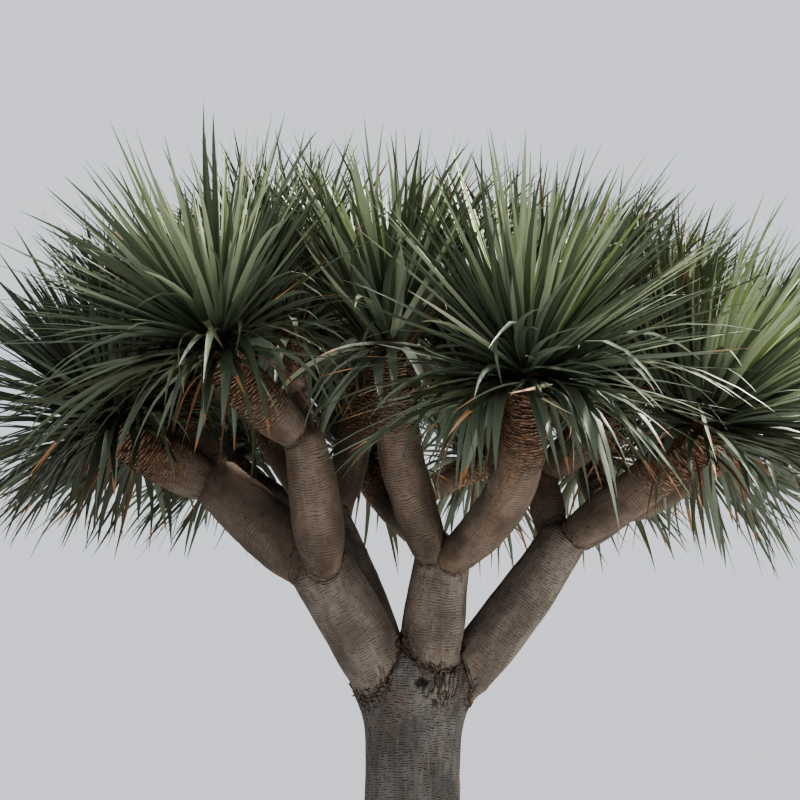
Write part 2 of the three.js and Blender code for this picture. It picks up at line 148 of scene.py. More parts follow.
LIMBS = {
    "bough_left": Limb("trunk", 0, 0.085, -138, 51, -6, 0, 0.58, (0.08, 0.124, 0.114)),
    "bough_left_back": Limb("trunk", 0, 0.06, 137, 63, -6, 0, 0.84, (0.074, 0.078, 0.066)),
    "bough_middle": Limb("trunk", 0, 0.06, -71, 65, 6, 0, 0.565, (0.07, 0.114, 0.096)),
    "bough_right": Limb("trunk", 0, 0.08, -12, 51, 12, 0, 0.75, (0.072, 0.104, 0.088)),
    "bough_back": Limb("trunk", 0, 0.06, 80, 57, 6, 0, 0.82, (0.08, 0.084, 0.072)),
    "fork_left": Limb("bough_left", 0.96, 0.02, 155, 40, 4, 0, 0.565, (0.076, 0.112, 0.1)),
    "fork_left_front": Limb("bough_left", 0.9, 0.07, -102, 57, 10, -20, 0.515, (0.038, 0.092, 0.068)),
    "fork_right": Limb("bough_right", 0.98, 0.045, 115, 75, 4, 0, 0.3, (0.046, 0.064, 0.058)),
    "fork_right_back": Limb("bough_right", 1, 0.03, 41, 26, 8, 0, 0.335, (0.046, 0.068, 0.062)),
    "limb_left_low": Limb("fork_left", 1, 0.03, -150, 22, 14, 0, 0.355, (0.062, 0.092, 0.078)),
    "limb_left_high": Limb("fork_left", 1, 0.01, 147, 60, 10, 0, 0.41, (0.059, 0.092, 0.08)),
    "limb_left_end": Limb("fork_left", 0.95, 0.02, 123, 21, 18, 0, 0.79, (0.044, 0.066, 0.064)),
    "limb_left_front": Limb("fork_left_front", 1, 0.02, -143, 35, 14, 0, 0.35, (0.052, 0.08, 0.07)),
    "limb_left_inner": Limb("fork_left_front", 1, 0.02, 102, 46, 40, 0, 0.655, (0.036, 0.058, 0.06)),
    "limb_mid_left": Limb("bough_left_back", 1, 0.01, 34, 76, 6, 0, 0.54, (0.049, 0.074, 0.064)),
    "limb_crown_left": Limb("bough_left_back", 1, 0.02, 157, 56, 24, 0, 0.605, (0.043, 0.066, 0.064)),
    "limb_back_left": Limb("bough_left_back", 1, 0.02, 130, 25, 24, 0, 0.815, (0.041, 0.068, 0.064)),
    "limb_back_mid": Limb("bough_back", 1, 0.02, 120, 35, 20, 0, 0.69, (0.048, 0.07, 0.064)),
    "limb_front_left": Limb("bough_middle", 0.92, 0.04, -117, 60, 16, 36, 0.725, (0.057, 0.08, 0.068)),
    "limb_front_right": Limb("bough_middle", 0.92, 0.04, -70, 31, 30, -44, 0.8, (0.057, 0.082, 0.068)),
    "limb_crown_mid": Limb("limb_front_right", 0.5, 0.02, 66, 56, 24, 0, 0.62, (0.034, 0.056, 0.062)),
    "limb_right_inner": Limb("fork_right", 1, 0.01, -39, 35, 30, 0, 0.37, (0.044, 0.074, 0.068)),
    "limb_right_high": Limb("fork_right", 1, 0.02, 48, 43, 30, 0, 0.485, (0.041, 0.064, 0.064)),
    "limb_right_low": Limb("bough_right", 1, 0.02, -44, 25, 8, 0, 0.62, (0.049, 0.08, 0.08)),
    "limb_right_end": Limb("fork_right_back", 1, 0.01, -7, 31, 14, 0, 0.505, (0.043, 0.068, 0.066)),
    "limb_right_back": Limb("fork_right_back", 1, 0.01, 50, 28, 26, 0, 0.65, (0.041, 0.066, 0.064)),
    "limb_back_inner": Limb("fork_right", 1, 0.02, 116, 43, 24, 0, 0.625, (0.038, 0.06, 0.062)),
    "limb_back_right": Limb("fork_right_back", 1, 0.02, 90, 25, 30, 0, 0.86, (0.044, 0.066, 0.064)),
    "limb_back_end": Limb("limb_back_mid", 0.45, 0.02, 47, 31, -24, 0, 0.565, (0.036, 0.058, 0.06)),
}
CARRIERS = [name for name in LIMBS if name.startswith("limb_")]
BELLY_AT = 0.42
PINCH = 0.8
FORK_DOME = 0.5
HEAD_LENGTH = 0.15
HEAD_UPRIGHT = 0.62
HEAD_ASIDE = (0.02, 0.17)
UP = np.array([0.0, 0.0, 1.0])
RIGHT = np.array([1.0, 0.0, 0.0])
print("limbs:", len(LIMBS), "of which carry a rosette:", len(CARRIERS))


# %% The centre line of a limb
def heading(turn, rise):
    """Unit vectors from compass turns and rises in radians."""
    turn, rise = np.broadcast_arrays(turn, rise)
    level = np.cos(rise)
    return np.stack([np.cos(turn) * level, np.sin(turn) * level, np.sin(rise)], axis=-1)


def unit(vectors):
    return vectors / np.linalg.norm(vectors, axis=-1, keepdims=True)


def line_points(name, shares):
    """Points of a limb's curved centre line, at shares of its length."""
    row = LIMBS[name]
    turn, rise, lift, sway = np.radians([row.turn, row.rise, row.lift, row.sway])
    start = HEART if row.parent == "trunk" else line_points(row.parent, np.array([row.at]))[0]
    foot = start + row.aside * heading(turn, 0)
    chord = heading(turn, rise)
    side = np.array([-math.sin(turn), math.cos(turn), 0])
    bow = row.length / 8 * (lift * np.cross(side, chord) - sway * math.cos(rise) * side)
    held = np.clip(shares, 0, 1)[..., None]
    return foot + chord * row.length * shares[..., None] + bow * 4 * held * (1 - held)


def line_directions(name, shares):
    row = LIMBS[name]
    turn, rise, lift, sway = np.radians([row.turn, row.rise, row.lift, row.sway])
    past_middle = np.clip(shares, 0, 1) - 0.5
    return heading(turn + sway * past_middle, rise + lift * past_middle)


def radius_at(name, shares):
    """A limb's radius: it swells quickly from the pinched foot to the belly and narrows slowly to the tip."""
    foot, belly, tip = LIMBS[name].radius
    rising = np.sin(np.pi / 2 * np.clip(shares / BELLY_AT, 0, 1) ** PINCH)
    falling = np.sin(np.pi / 2 * np.clip((1 - shares) / (1 - BELLY_AT), 0, 1))
    return np.where(shares < BELLY_AT, foot + (belly - foot) * rising, tip + (belly - tip) * falling)


def trunk_radius(heights):
    """The trunk's radius at heights above the ground."""
    shares, radii = zip(*TRUNK_OUTLINE)
    return TRUNK_RADIUS * np.interp(np.asarray(heights) / TRUNK_HEIGHT, shares, radii)


for name, row in LIMBS.items():
    ends = line_points(name, np.array([0.0, 1.0]))
    print(f"{name}: from {np.round(ends[0], 2)} to {np.round(ends[1], 2)}, belly {row.radius[1]} m")

# %% [markdown]
# How far a point is from a limb.
# Where a bough leaves the trunk, both barks have pushed against each other: the old bark of the trunk
# swells over the foot of the bough like a collar, and a dark crack runs between them. To place such things,
# each point of the bark has to know how far it is from the other limbs. A limb is taken as a row of balls
# along its centre line here, which is quick and close enough. The collar then fades out with the distance
# from the boughs and, round the trunk, with the turn away from its front.

# %% Distances from the limbs
LINE_STEPS = np.linspace(0, 1, 25)
COLLAR = {"swell": 0.027, "reach": 0.05, "turn": math.radians(-82), "spread": math.radians(92)}
COLLAR_TOP = 0.02
WIDEST_TOP = 0.97


def points_of(mesh):
    flat = np.empty(len(mesh.vertices) * 3, np.float32)
    mesh.vertices.foreach_get("co", flat)
    return flat.reshape(-1, 3).astype(float)


def wrapped(angle):
    """The same angle between minus and plus half a turn."""
    return np.arctan2(np.sin(angle), np.cos(angle))


@functools.lru_cache(maxsize=None)
def line_of(name):
    return line_points(name, LINE_STEPS), radius_at(name, LINE_STEPS)


def gap_to(name, points):
    """Distance of each point from a limb's or the trunk's surface, below zero inside it."""
    if name == "trunk":
        height = points[:, 2]
        radii = trunk_radius(np.clip(height, 0, TRUNK_HEIGHT * WIDEST_TOP)) + collar_at(points)
        return np.maximum(np.hypot(points[:, 0], points[:, 1]) - radii, height - TRUNK_HEIGHT - COLLAR_TOP)
    centres, radii = line_of(name)
    spans = np.linalg.norm(points[:, None, :] - centres[None, :, :], axis=2) - radii
    return spans.min(axis=1)


def collar_at(points):
    """How far the trunk's bark swells over the feet of the boughs at each point, most at the front."""
    gaps = [gap_to(name, points) for name, row in LIMBS.items() if row.parent == "trunk"]
    away = np.maximum(np.min(gaps, axis=0), 0) / COLLAR["reach"]
    aside = wrapped(np.arctan2(points[:, 1], points[:, 0]) - COLLAR["turn"]) / COLLAR["spread"]
    return COLLAR["swell"] * np.exp(-away ** 2 - aside ** 2)


for name in LIMBS:
    proud = gap_to(name, points_of(frame["nodes"][name].data)).max()
    print(f"{name}: the solid's corners stand at most {1000 * proud:.0f} mm out from its line's radius")

# %% [markdown]
# The bark's relief.
# The bark is smooth for a tree. It has fine rings across each limb, shallow dents, knots where shoots died,
# and dark cracked seams where one limb has grown out of another. It could be sculpted in place, but a limb
# is modelled straight here, because rings and knots are easy to place on a straight one: a circle is
# extruded station by station to the limb's outline, closed at both ends and smoothed by subdivision. Then
# every point is moved in or out by the relief, and the straight limb is laid along its centre line. The
# straight places are kept as an attribute for the materials, so their rings follow the limb round its
# bends.

# %% Smooth random values
CORNERS = list(itertools.product((0, 1), repeat=3))
PRIMES = np.array([73856093, 19349663, 83492791])
SEED_STEP = 2654435761
SCRAMBLE = 1274126177


def roughly(points, size, seed=0):
    """Smooth random values from -1 to 1 that change over about the given size."""
    cells = points / size
    lowest = np.floor(cells).astype(np.int64)
    part = cells - lowest
    part = part * part * (3 - 2 * part)
    total = np.zeros(len(points))
    for corner in CORNERS:
        key = (lowest + corner) @ PRIMES + seed * SEED_STEP
        key = (key ^ (key >> 13)) * SCRAMBLE
        value = ((key ^ (key >> 16)) & 0xFFFF) / 32767.5 - 1
        total += value * np.prod(np.where(corner, part, 1 - part), axis=1)
    return total


print("sample of random values:", np.round(roughly(np.eye(3), 0.3), 2))

# %% A straight limb, extruded
LIMB_SIDES = 16
STATION = 0.021
SMOOTHING = 2
TOP_INSET = 0.4
HEAD_OUTLINE = ((0.33, 0.98), (0.66, 0.86), (0.85, 0.6), (1, 0.2))
FORK_OUTLINE = ((0.45, 0.86), (0.8, 0.62), (1, 0.25))


def extrude_ring(rise, ratio):
    bpy.ops.mesh.extrude_region_move(TRANSFORM_OT_translate={"value": (0, 0, rise)})
    bpy.ops.transform.resize(value=(ratio, ratio, 1))


def turned_piece(name, sides, heights, radii):
    """A closed round piece along the Z axis with the given radii at the given heights, smoothed."""
    bpy.ops.object.select_all(action="DESELECT")
    bpy.ops.mesh.primitive_circle_add(
        vertices=sides, radius=radii[0], fill_type="NGON", location=(0, 0, heights[0]), enter_editmode=True
    )
    bpy.ops.mesh.select_mode(type="FACE")
    bpy.ops.mesh.select_all(action="SELECT")
    bpy.ops.mesh.flip_normals()
    for low, high, before, after in zip(heights, heights[1:], radii, radii[1:]):
        extrude_ring(high - low, after / before)
    bpy.ops.mesh.inset(thickness=radii[-1] * TOP_INSET)
    bpy.ops.mesh.select_all(action="SELECT")
    bpy.ops.mesh.normals_make_consistent(inside=False)
    bpy.ops.object.mode_set(mode="OBJECT")
    piece = bpy.context.object
    bpy.ops.object.transform_apply(location=True, rotation=True, scale=True)
    smooth = piece.modifiers.new("smooth", "SUBSURF")
    smooth.levels = SMOOTHING
    smooth.render_levels = SMOOTHING
    bpy.ops.object.modifier_apply(modifier="smooth")
    bpy.ops.object.shade_smooth()
    piece.name = name
    return piece


def end_heights(name):
    """Heights and radii past a limb's tip: a rounded fork, or the leafy end that a rosette stands on."""
    length = LIMBS[name].length
    tip = LIMBS[name].radius[2]
    if name in CARRIERS:
        return [(length + HEAD_LENGTH * rise, tip * ratio) for rise, ratio in HEAD_OUTLINE]
    return [(length + tip * FORK_DOME * rise, tip * ratio) for rise, ratio in FORK_OUTLINE]


def straight_limb(name):
    length = LIMBS[name].length
    count = math.ceil(length / STATION)
    stations = np.linspace(0, 1, count + 1)
    rows = list(zip(stations * length, radius_at(name, stations))) + end_heights(name)
    heights, radii = zip(*rows)
    return turned_piece(name + "_bark", LIMB_SIDES, heights, radii)


# %% Laying a straight limb along its centre line
HEAD_TURNS_BY = 1.6


def rosette_at(name):
    """The base of a rosette's leafy end, the limb's direction there, and the rosette's own axis."""
    tip = np.array([1.0])
    along = line_directions(name, tip)[0]
    base = line_points(name, tip)[0]
    aside = HEAD_ASIDE[0] + HEAD_ASIDE[1] * base[0]
    axis = unit(along + (UP - along) * HEAD_UPRIGHT + aside * RIGHT)
    return base, along, axis


def laid_along(name, straight):
    """Straight places to places on the tree; past the tip the leafy end turns towards the rosette's axis."""
    length = LIMBS[name].length
    shares = straight[:, 2] / length
    centre = line_points(name, shares)
    along = line_directions(name, shares)
    if name in CARRIERS:
        base, last, axis = rosette_at(name)
        past = np.clip((straight[:, 2] - length) / HEAD_LENGTH, 0, None)[:, None]
        in_head = past[:, 0] > 0
        head = base + HEAD_LENGTH * (last * past * (1 - past) + axis * past * past)
        centre[in_head] = head[in_head]
        along[in_head] = unit(last + (axis - last) * np.minimum(past * HEAD_TURNS_BY, 1))[in_head]
    turn = math.radians(LIMBS[name].turn)
    side = np.array([-math.sin(turn), math.cos(turn), 0])
    side = unit(side - (along @ side)[:, None] * along)
    across = np.cross(side, along)
    return centre + side * straight[:, 0:1] + across * straight[:, 1:2]


# %% Seams
TRUNK_SEAM = 0.008
FORK_SEAM = 0.0038
FAR = 1.0


def neighbours_of(name):
    """The limbs that a limb touches: its parent, what grows from it, and what shares its parent's fork."""
    if name == "trunk":
        return [other for other in LIMBS if LIMBS[other].parent == "trunk"]
    parent = LIMBS[name].parent
    touching = [other for other in LIMBS if LIMBS[other].parent in (name, parent) and other != name]
    return [parent] + touching


def seam_at(name, places):
    """How far each point is from the nearest limb that this one meets, and the width of the seam there."""
    nearest, width = np.full(len(places), FAR), np.full(len(places), FORK_SEAM)
    for other in neighbours_of(name):
        seam = TRUNK_SEAM if "trunk" in (name, other) else FORK_SEAM
        gap = gap_to(other, places)
        closer = np.abs(gap) < np.abs(nearest)
        nearest = np.where(closer, gap, nearest)
        width = np.where(closer, seam, width)
    return nearest, width


print("bough_left meets:", ", ".join(neighbours_of("bough_left")))

# %% Knots
KNOTS_PER_METRE = 7
KNOT_HEIGHTS = (0.08, 0.8)
KNOT_SIZES = (0.007, 0.014)
KNOT_RISE = 0.45
KNOT_SINK = {"depth": 0.8, "size": 0.45}


def knots_on(straight, length, random):
    """Raised rings with a sunk middle, where a shoot once died."""
    relief = np.zeros(len(straight))
    radius = np.hypot(straight[:, 0], straight[:, 1])
    angle = np.arctan2(straight[:, 1], straight[:, 0])
    for _ in range(round(length * KNOTS_PER_METRE)):
        height = random.uniform(*KNOT_HEIGHTS) * length
        turn = random.uniform(0, 2 * math.pi)
        size = random.uniform(*KNOT_SIZES)
        away = np.hypot(radius * wrapped(angle - turn), (straight[:, 2] - height) * 1.4) / size
        sunk = KNOT_SINK["depth"] * np.exp(-((away / KNOT_SINK["size"]) ** 2))
        relief += KNOT_RISE * size * (np.exp(-away * away) - sunk)
    return relief


print("knots on the trunk:", round(TRUNK_HEIGHT * KNOTS_PER_METRE))

# %% Relief, place and attributes of one bark piece
SEAM_LUMPS = ((1.0, 0.03, 3), (0.9, 0.012, 4))
SEAM_LIP = 1.8
SEAM_RAGGED = {"trunk": 0.9, "limb": 1.3}
PATTERN_SHIFT = np.array([0, 0, 3.7])
ON_AXIS = 1e-4


def store(mesh, name, values, kind="FLOAT"):
    attribute = mesh.attributes.new(name, kind, "POINT")
    field = "vector" if kind == "FLOAT_VECTOR" else "value"
    attribute.data.foreach_set(field, values.astype(np.float32).ravel())


def finished_bark(piece, name, straight, relief, place, **marks):
    """Moves a straight piece's points out by the relief, but for those on its axis, and lays them in place.

    The marks are values at each point that the materials need.
    """
    outward = straight - straight * UP
    outward /= np.maximum(np.linalg.norm(outward, axis=1, keepdims=True), ON_AXIS)
    gap, width = seam_at(name, place(straight))
    lumps = sum(height * roughly(straight, size, seed) for height, size, seed in SEAM_LUMPS)
    lip = np.exp(-((gap / (SEAM_LIP * width)) ** 2))
    ragged = SEAM_RAGGED["trunk" if name == "trunk" else "limb"]
    moved = straight + outward * (relief + lip * width * (0.2 + ragged * lumps))[:, None]
    piece.data.vertices.foreach_set("co", place(moved).astype(np.float32).ravel())
    store(piece.data, "straight", straight + PATTERN_SHIFT * len(name), "FLOAT_VECTOR")
    store(piece.data, "gap", gap)
    store(piece.data, "width", width)
    for label in ("scars", "hollow", "torn"):
        store(piece.data, label, marks.get(label, np.zeros(len(straight))))
    piece.data.update()


# %% The limbs
SCAR_LENGTH = 0.26
WIDE_DENTS = {"depth": 0.0035, "size": 0.11}
NARROW_DENTS = {"depth": 0.0012, "size": 0.035}
bark_pieces = {}
random = np.random.default_rng(4)

for number, (name, row) in enumerate(LIMBS.items()):
    piece = straight_limb(name)
    straight = points_of(piece.data)
    dents = WIDE_DENTS["depth"] * roughly(straight + number, WIDE_DENTS["size"], 1)
    dents += NARROW_DENTS["depth"] * roughly(straight, NARROW_DENTS["size"], 2)
    relief = dents + knots_on(straight, row.length, random)
    scars = np.zeros(len(straight))
    if name in CARRIERS:
        scars = np.clip(1 - (row.length - straight[:, 2]) / SCAR_LENGTH, 0, 1)
    finished_bark(piece, name, straight, relief, functools.partial(laid_along, name), scars=scars)
    bark_pieces[name] = piece
print("limb pieces:", len(bark_pieces), "faces:", sum(len(p.data.polygons) for p in bark_pieces.values()))

# %% [markdown]
# The trunk.
# The trunk flares at the ground over five low roots, and widens again under the boughs. There its old bark
# has swollen over the feet of the boughs. At the front, below the crotch, a patch of it is torn into
# upright folds, with a small dark hollow at its side. The trunk is turned the same way as a limb. The
# swelling is pushed out first, and the roots, a few long shallow flutes, the folds and the hollow are
# relief on top of it.

# %% The turned trunk, and its swollen bark
TRUNK_SIDES = 44
TRUNK_STATION = 0.024
TRUNK_SHOULDER = 0.985
FOOT_EDGE = 0.004
SWELL_LIFT = {"share": 0.6, "from": 1.98, "over": 0.06}

heights = np.linspace(0, TRUNK_HEIGHT * TRUNK_SHOULDER, round(TRUNK_HEIGHT / TRUNK_STATION))
heights = np.concatenate([[0, FOOT_EDGE], heights[1:], [TRUNK_HEIGHT]])
trunk = turned_piece("trunk_bark", TRUNK_SIDES, heights, trunk_radius(heights))

straight = points_of(trunk.data)
angle = np.arctan2(straight[:, 1], straight[:, 0])
radius = np.hypot(straight[:, 0], straight[:, 1])
swell = collar_at(straight)
straight[:, :2] *= (1 + swell / np.maximum(radius, 0.05))[:, None]
near_top = np.clip((straight[:, 2] - SWELL_LIFT["from"]) / SWELL_LIFT["over"], 0, 1)
straight[:, 2] += SWELL_LIFT["share"] * swell * near_top
radius += swell
print("the trunk's bark swells over the boughs' feet by up to", round(1000 * swell.max()), "mm")

# %% The hollow and the torn patch
HOLLOW = {"turn": math.radians(-84), "height": 1.952, "size": 0.024, "depth": 0.016}
TORN = {"turn": math.radians(-64), "height": 1.95, "across": 0.062, "up": 0.066, "depth": 0.01}

aside = radius * wrapped(angle - HOLLOW["turn"])
from_hollow = np.hypot(aside, 1.2 * (straight[:, 2] - HOLLOW["height"])) / HOLLOW["size"]
ragged_edge = roughly(straight, 0.016, 8)
hollow = np.exp(-np.maximum(from_hollow + 0.5 * ragged_edge, 0) ** 2)

aside = radius * wrapped(angle - TORN["turn"])
torn = np.exp(-np.hypot(aside / TORN["across"], (straight[:, 2] - TORN["height"]) / TORN["up"]) ** 2)
folds = roughly(straight * np.array([1, 1, 0.2]), 0.02, 9)
print("points in the hollow:", np.count_nonzero(hollow > 0.5))
print("points in the torn patch:", np.count_nonzero(torn > 0.5))

# %% Roots, flutes and dents of the trunk
ROOT_LOBES = 5
ROOT_LOBE_DEPTH = 0.09
FLARE_HEIGHT = 0.32
FLUTE_DEPTH = 0.004

near_ground = np.clip(1 - straight[:, 2] / FLARE_HEIGHT, 0, 1)
lobes = ROOT_LOBE_DEPTH * radius * near_ground * np.cos(ROOT_LOBES * angle)
flutes = FLUTE_DEPTH * roughly(straight * np.array([1, 1, 0.12]), 0.07, 5)
dents = 0.004 * roughly(straight, 0.16, 6) + 0.0015 * roughly(straight, 0.04, 7)
sides = radius > 0.8 * trunk_radius(np.clip(straight[:, 2], 0, TRUNK_HEIGHT * TRUNK_SHOULDER))
relief = lobes + flutes + dents - HOLLOW["depth"] * hollow + TORN["depth"] * torn * folds
relief = np.where(sides, relief, 0) + knots_on(straight, TRUNK_HEIGHT, random)
finished_bark(
    trunk, "trunk", straight, relief, lambda places: places, hollow=hollow * sides, torn=torn * sides
)

places = points_of(trunk.data)
places[:, 2] = np.maximum(places[:, 2], 0)
places[straight[:, 2] < FOOT_EDGE / 2, 2] = 0
trunk.data.vertices.foreach_set("co", places.astype(np.float32).ravel())
bark_pieces["trunk"] = trunk
print("trunk faces:", len(trunk.data.polygons))

# %% [markdown]
# Bark materials.
# Seen close, the bark is a grey-brown skin with thin dark rings across it, a few millimetres apart, broken
# and slightly wavy, and lightened a little on the crests of the ripples between them as a painted highlight.
# On the trunk most rings are broken up into rows of short dark dashes, and pale ridges run up it. The boughs
# are a little lighter, and the younger forks and limbs are warmer and darker, with fewer dashes: the warmth
# is their own, and the darker tone is painted shade of the crown above them.
# Seams are nearly black, with cracked plates beside them. The torn patch below the crotch has upright
# splits and pale flakes, and towards the rosettes the skin turns rust-red.
# A picture of bark would be quick, but it would stretch and repeat. The rings, dashes and cracks come from
# wave, noise and cell textures on the straight places instead, in node groups that the three skins share.
# Most thin lines are made in one way: they lie where a stretched noise passes its middle value.

# %% Node helpers
def add_node(tree, kind, values=None, **settings):
    """Adds a node, sets its properties, and sets or links its inputs."""
    node = tree.nodes.new(kind)
    for key, value in settings.items():
        setattr(node, key, value)
    for key, value in (values or {}).items():
        if isinstance(value, bpy.types.NodeSocket):
            tree.links.new(value, node.inputs[key])
        else:
            node.inputs[key].default_value = value
    return node


def maths(tree, operation, first, second=0.5):
    return add_node(tree, "ShaderNodeMath", {0: first, 1: second}, operation=operation).outputs[0]


def product(tree, first, *others):
    for other in others:
        first = maths(tree, "MULTIPLY", first, other)
    return first


def mapped(tree, value, low, high, to_low=0.0, to_high=1.0):
    """A soft step from one value to another while the given value goes from low to high."""
    values = {"Value": value, "From Min": low, "From Max": high, "To Min": to_low, "To Max": to_high}
    return add_node(tree, "ShaderNodeMapRange", values, interpolation_type="SMOOTHSTEP").outputs["Result"]


def mixed(tree, share, first, second):
    node = add_node(tree, "ShaderNodeMix", data_type="RGBA")
    for socket, value in ((node.inputs[0], share), (node.inputs[6], first), (node.inputs[7], second)):
        if isinstance(value, bpy.types.NodeSocket):
            tree.links.new(value, socket)
        else:
            socket.default_value = value
    return node.outputs[2]


def noise_on(tree, places, scale, stretch=(1, 1, 1), detail=3.0):
    scaled = add_node(tree, "ShaderNodeVectorMath", {0: places, 1: stretch}, operation="MULTIPLY")
    values = {"Vector": scaled.outputs[0], "Scale": scale, "Detail": detail}
    return add_node(tree, "ShaderNodeTexNoise", values).outputs["Fac"]


def swing(tree, noise, size):
    """A noise made to swing to either side of zero, over the given size in all."""
    return product(tree, maths(tree, "SUBTRACT", noise, 0.5), size)


def thin_lines(tree, noise, middle, outer, inner):
    """Lines where a noise passes its middle value: none at the outer distance from it, full at the inner."""
    away = maths(tree, "ABSOLUTE", maths(tree, "SUBTRACT", noise, middle))
    return mapped(tree, away, outer, inner)


def new_group(name, inputs, outputs):
    group = bpy.data.node_groups.new(name, "ShaderNodeTree")
    for label, kind in inputs.items():
        group.interface.new_socket(label, in_out="INPUT", socket_type=kind)
    for label, kind in outputs.items():
        group.interface.new_socket(label, in_out="OUTPUT", socket_type=kind)
    return group, group.nodes.new("NodeGroupInput"), group.nodes.new("NodeGroupOutput")


def colour(red, green, blue):
    """A colour as given from 0 to 255, as the shader's linear values."""
    return tuple((value / 255) ** 2.2 for value in (red, green, blue)) + (1,)


print("middle grey as the shader's value:", round(colour(128, 128, 128)[0], 3))

# %% Rings across the bark, as a group
WAVE_TURN = 2 * math.pi / 20

rings, ring_in, ring_out = new_group(
    "bark_rings",
    {
        "Places": "NodeSocketVector", "Pitch": "NodeSocketFloat", "Broken": "NodeSocketFloat",
        "Breaks": "NodeSocketFloat",
    },
    {"Lines": "NodeSocketFloat", "Swell": "NodeSocketFloat"},
)
here = ring_in.outputs["Places"]
wave_scale = maths(rings, "DIVIDE", WAVE_TURN, ring_in.outputs["Pitch"])
wavy = add_node(rings, "ShaderNodeTexNoise", {"Vector": here, "Scale": 16.0, "Detail": 3.0})
wavy = add_node(
    rings, "ShaderNodeVectorMath",
    {0: wavy.outputs["Color"], 1: (0, 0, 0.03), 2: here}, operation="MULTIPLY_ADD",
)
wave = add_node(
    rings, "ShaderNodeTexWave",
    {"Vector": wavy.outputs[0], "Scale": wave_scale, "Distortion": 3.0, "Detail": 2.0, "Detail Scale": 0.4},
    wave_type="BANDS", bands_direction="Z",
)
thin = mapped(rings, wave.outputs["Fac"], 0.36, 0.03)
breaks = noise_on(rings, here, ring_in.outputs["Breaks"], (1, 1, 1.7), 2.0)
whole = mapped(rings, maths(rings, "SUBTRACT", breaks, ring_in.outputs["Broken"]), -0.1, 0.08)
rings.links.new(product(rings, thin, whole), ring_out.inputs["Lines"])
rings.links.new(wave.outputs["Fac"], ring_out.inputs["Swell"])
print("nodes in the ring group:", len(rings.nodes))

# %% Seams, as a group: the dark crack wanders, with a second one beside it here and there
seams, seam_in, seam_out = new_group(
    "bark_seams",
    {"Places": "NodeSocketVector", "Gap": "NodeSocketFloat", "Width": "NodeSocketFloat"},
    {"Dark": "NodeSocketFloat", "Near": "NodeSocketFloat", "Plates": "NodeSocketFloat"},
)
here = seam_in.outputs["Places"]
gap = maths(seams, "DIVIDE", seam_in.outputs["Gap"], seam_in.outputs["Width"])
wander = swing(seams, noise_on(seams, here, 34, (1, 1, 1), 4.0), 2.4)
fine = swing(seams, noise_on(seams, here, 170, (1, 1, 0.5), 3.0), 1.5)
wandering = maths(seams, "ADD", gap, maths(seams, "ADD", wander, fine))
core = mapped(seams, maths(seams, "ABSOLUTE", wandering), 0.42, 0.1)
second = thin_lines(seams, maths(seams, "ADD", wandering, wander), 1.3, 0.32, 0.06)
second = product(seams, second, mapped(seams, noise_on(seams, here, 18, (1, 1, 1), 2.0), 0.44, 0.56))
near = mapped(seams, maths(seams, "ABSOLUTE", maths(seams, "ADD", gap, wander)), 2.1, 0.4)
seams.links.new(near, seam_out.inputs["Near"])
print("nodes in the seam group so far:", len(seams.nodes))

# %% Cracked plates beside the seams, and upright cracks below them
bent = add_node(seams, "ShaderNodeTexNoise", {"Vector": here, "Scale": 40.0, "Detail": 2.0})
bent = add_node(
    seams, "ShaderNodeVectorMath",
    {0: bent.outputs["Color"], 1: (0.02, 0.02, 0.02), 2: here}, operation="MULTIPLY_ADD",
)
cells = {"Vector": bent.outputs[0], "Scale": 78.0}
plates = add_node(seams, "ShaderNodeTexVoronoi", cells)
plate_edges = add_node(seams, "ShaderNodeTexVoronoi", cells, feature="DISTANCE_TO_EDGE")
edges = product(seams, mapped(seams, plate_edges.outputs["Distance"], 0.09, 0.02), near)
dark = maths(seams, "MAXIMUM", maths(seams, "MAXIMUM", core, second), product(seams, edges, 0.4))
wide = mapped(seams, seam_in.outputs["Width"], 0.0045, 0.0075)
patches = mapped(seams, noise_on(seams, here, 15, (1, 1, 1), 3.0), 0.44, 0.56, 0.25, 1.0)
dark = product(seams, dark, maths(seams, "MAXIMUM", wide, patches))

upright = thin_lines(seams, noise_on(seams, here, 34, (1, 1, 0.2), 3.0), 0.5, 0.018, 0.003)
below = mapped(seams, maths(seams, "ABSOLUTE", seam_in.outputs["Gap"]), 0.06, 0.01)
some = mapped(seams, noise_on(seams, here, 11, (1, 1, 0.4), 2.0), 0.46, 0.56)
spread = maths(seams, "MAXIMUM", wide, 0.55)
upright = product(seams, upright, spread, below, some)
dark = maths(seams, "MAXIMUM", dark, product(seams, upright, 0.85))
seams.links.new(dark, seam_out.inputs["Dark"])
seams.links.new(plates.outputs["Color"], seam_out.inputs["Plates"])
print("nodes in the seam group:", len(seams.nodes))

# %% The bark itself, as a group: clouds, grain and warm streaks
MARKS = ("Gap", "Width", "Hollow", "Torn", "Scars")
SETTINGS = ("Pitch", "Broken", "Breaks", "Ripples", "Dashes", "Ridges")
# Of these tones, the ripple highlight is painted light on the crests of the ripples, and the hollow tone is
# painted shade in the trunk's hollow; the rest are the bark's own colours.
TONES = {
    "grain": colour(70, 58, 50), "warm": colour(122, 96, 74), "ripple_highlight": colour(142, 130, 120),
    "crack": colour(98, 74, 58), "ridge": colour(132, 122, 112), "ring": colour(62, 50, 43),
    "dash": colour(44, 36, 32), "dot": colour(50, 40, 34), "seam": colour(38, 29, 25),
    "flake": colour(138, 122, 106), "split": colour(46, 36, 30), "hollow": colour(44, 34, 29),
}

bark, bark_in, bark_out = new_group(
    "bark",
    {
        "Places": "NodeSocketVector",
        **{label: "NodeSocketFloat" for label in MARKS + SETTINGS},
        "Light": "NodeSocketColor", "Dark": "NodeSocketColor",
    },
    {"Color": "NodeSocketColor", "Roughness": "NodeSocketFloat", "Height": "NodeSocketFloat"},
)
here = bark_in.outputs["Places"]


def painted(base, mask, amount, tone):
    """The base colour with a tone laid over it where the mask is, up to the given amount."""
    return mixed(bark, product(bark, mask, amount), base, TONES[tone])


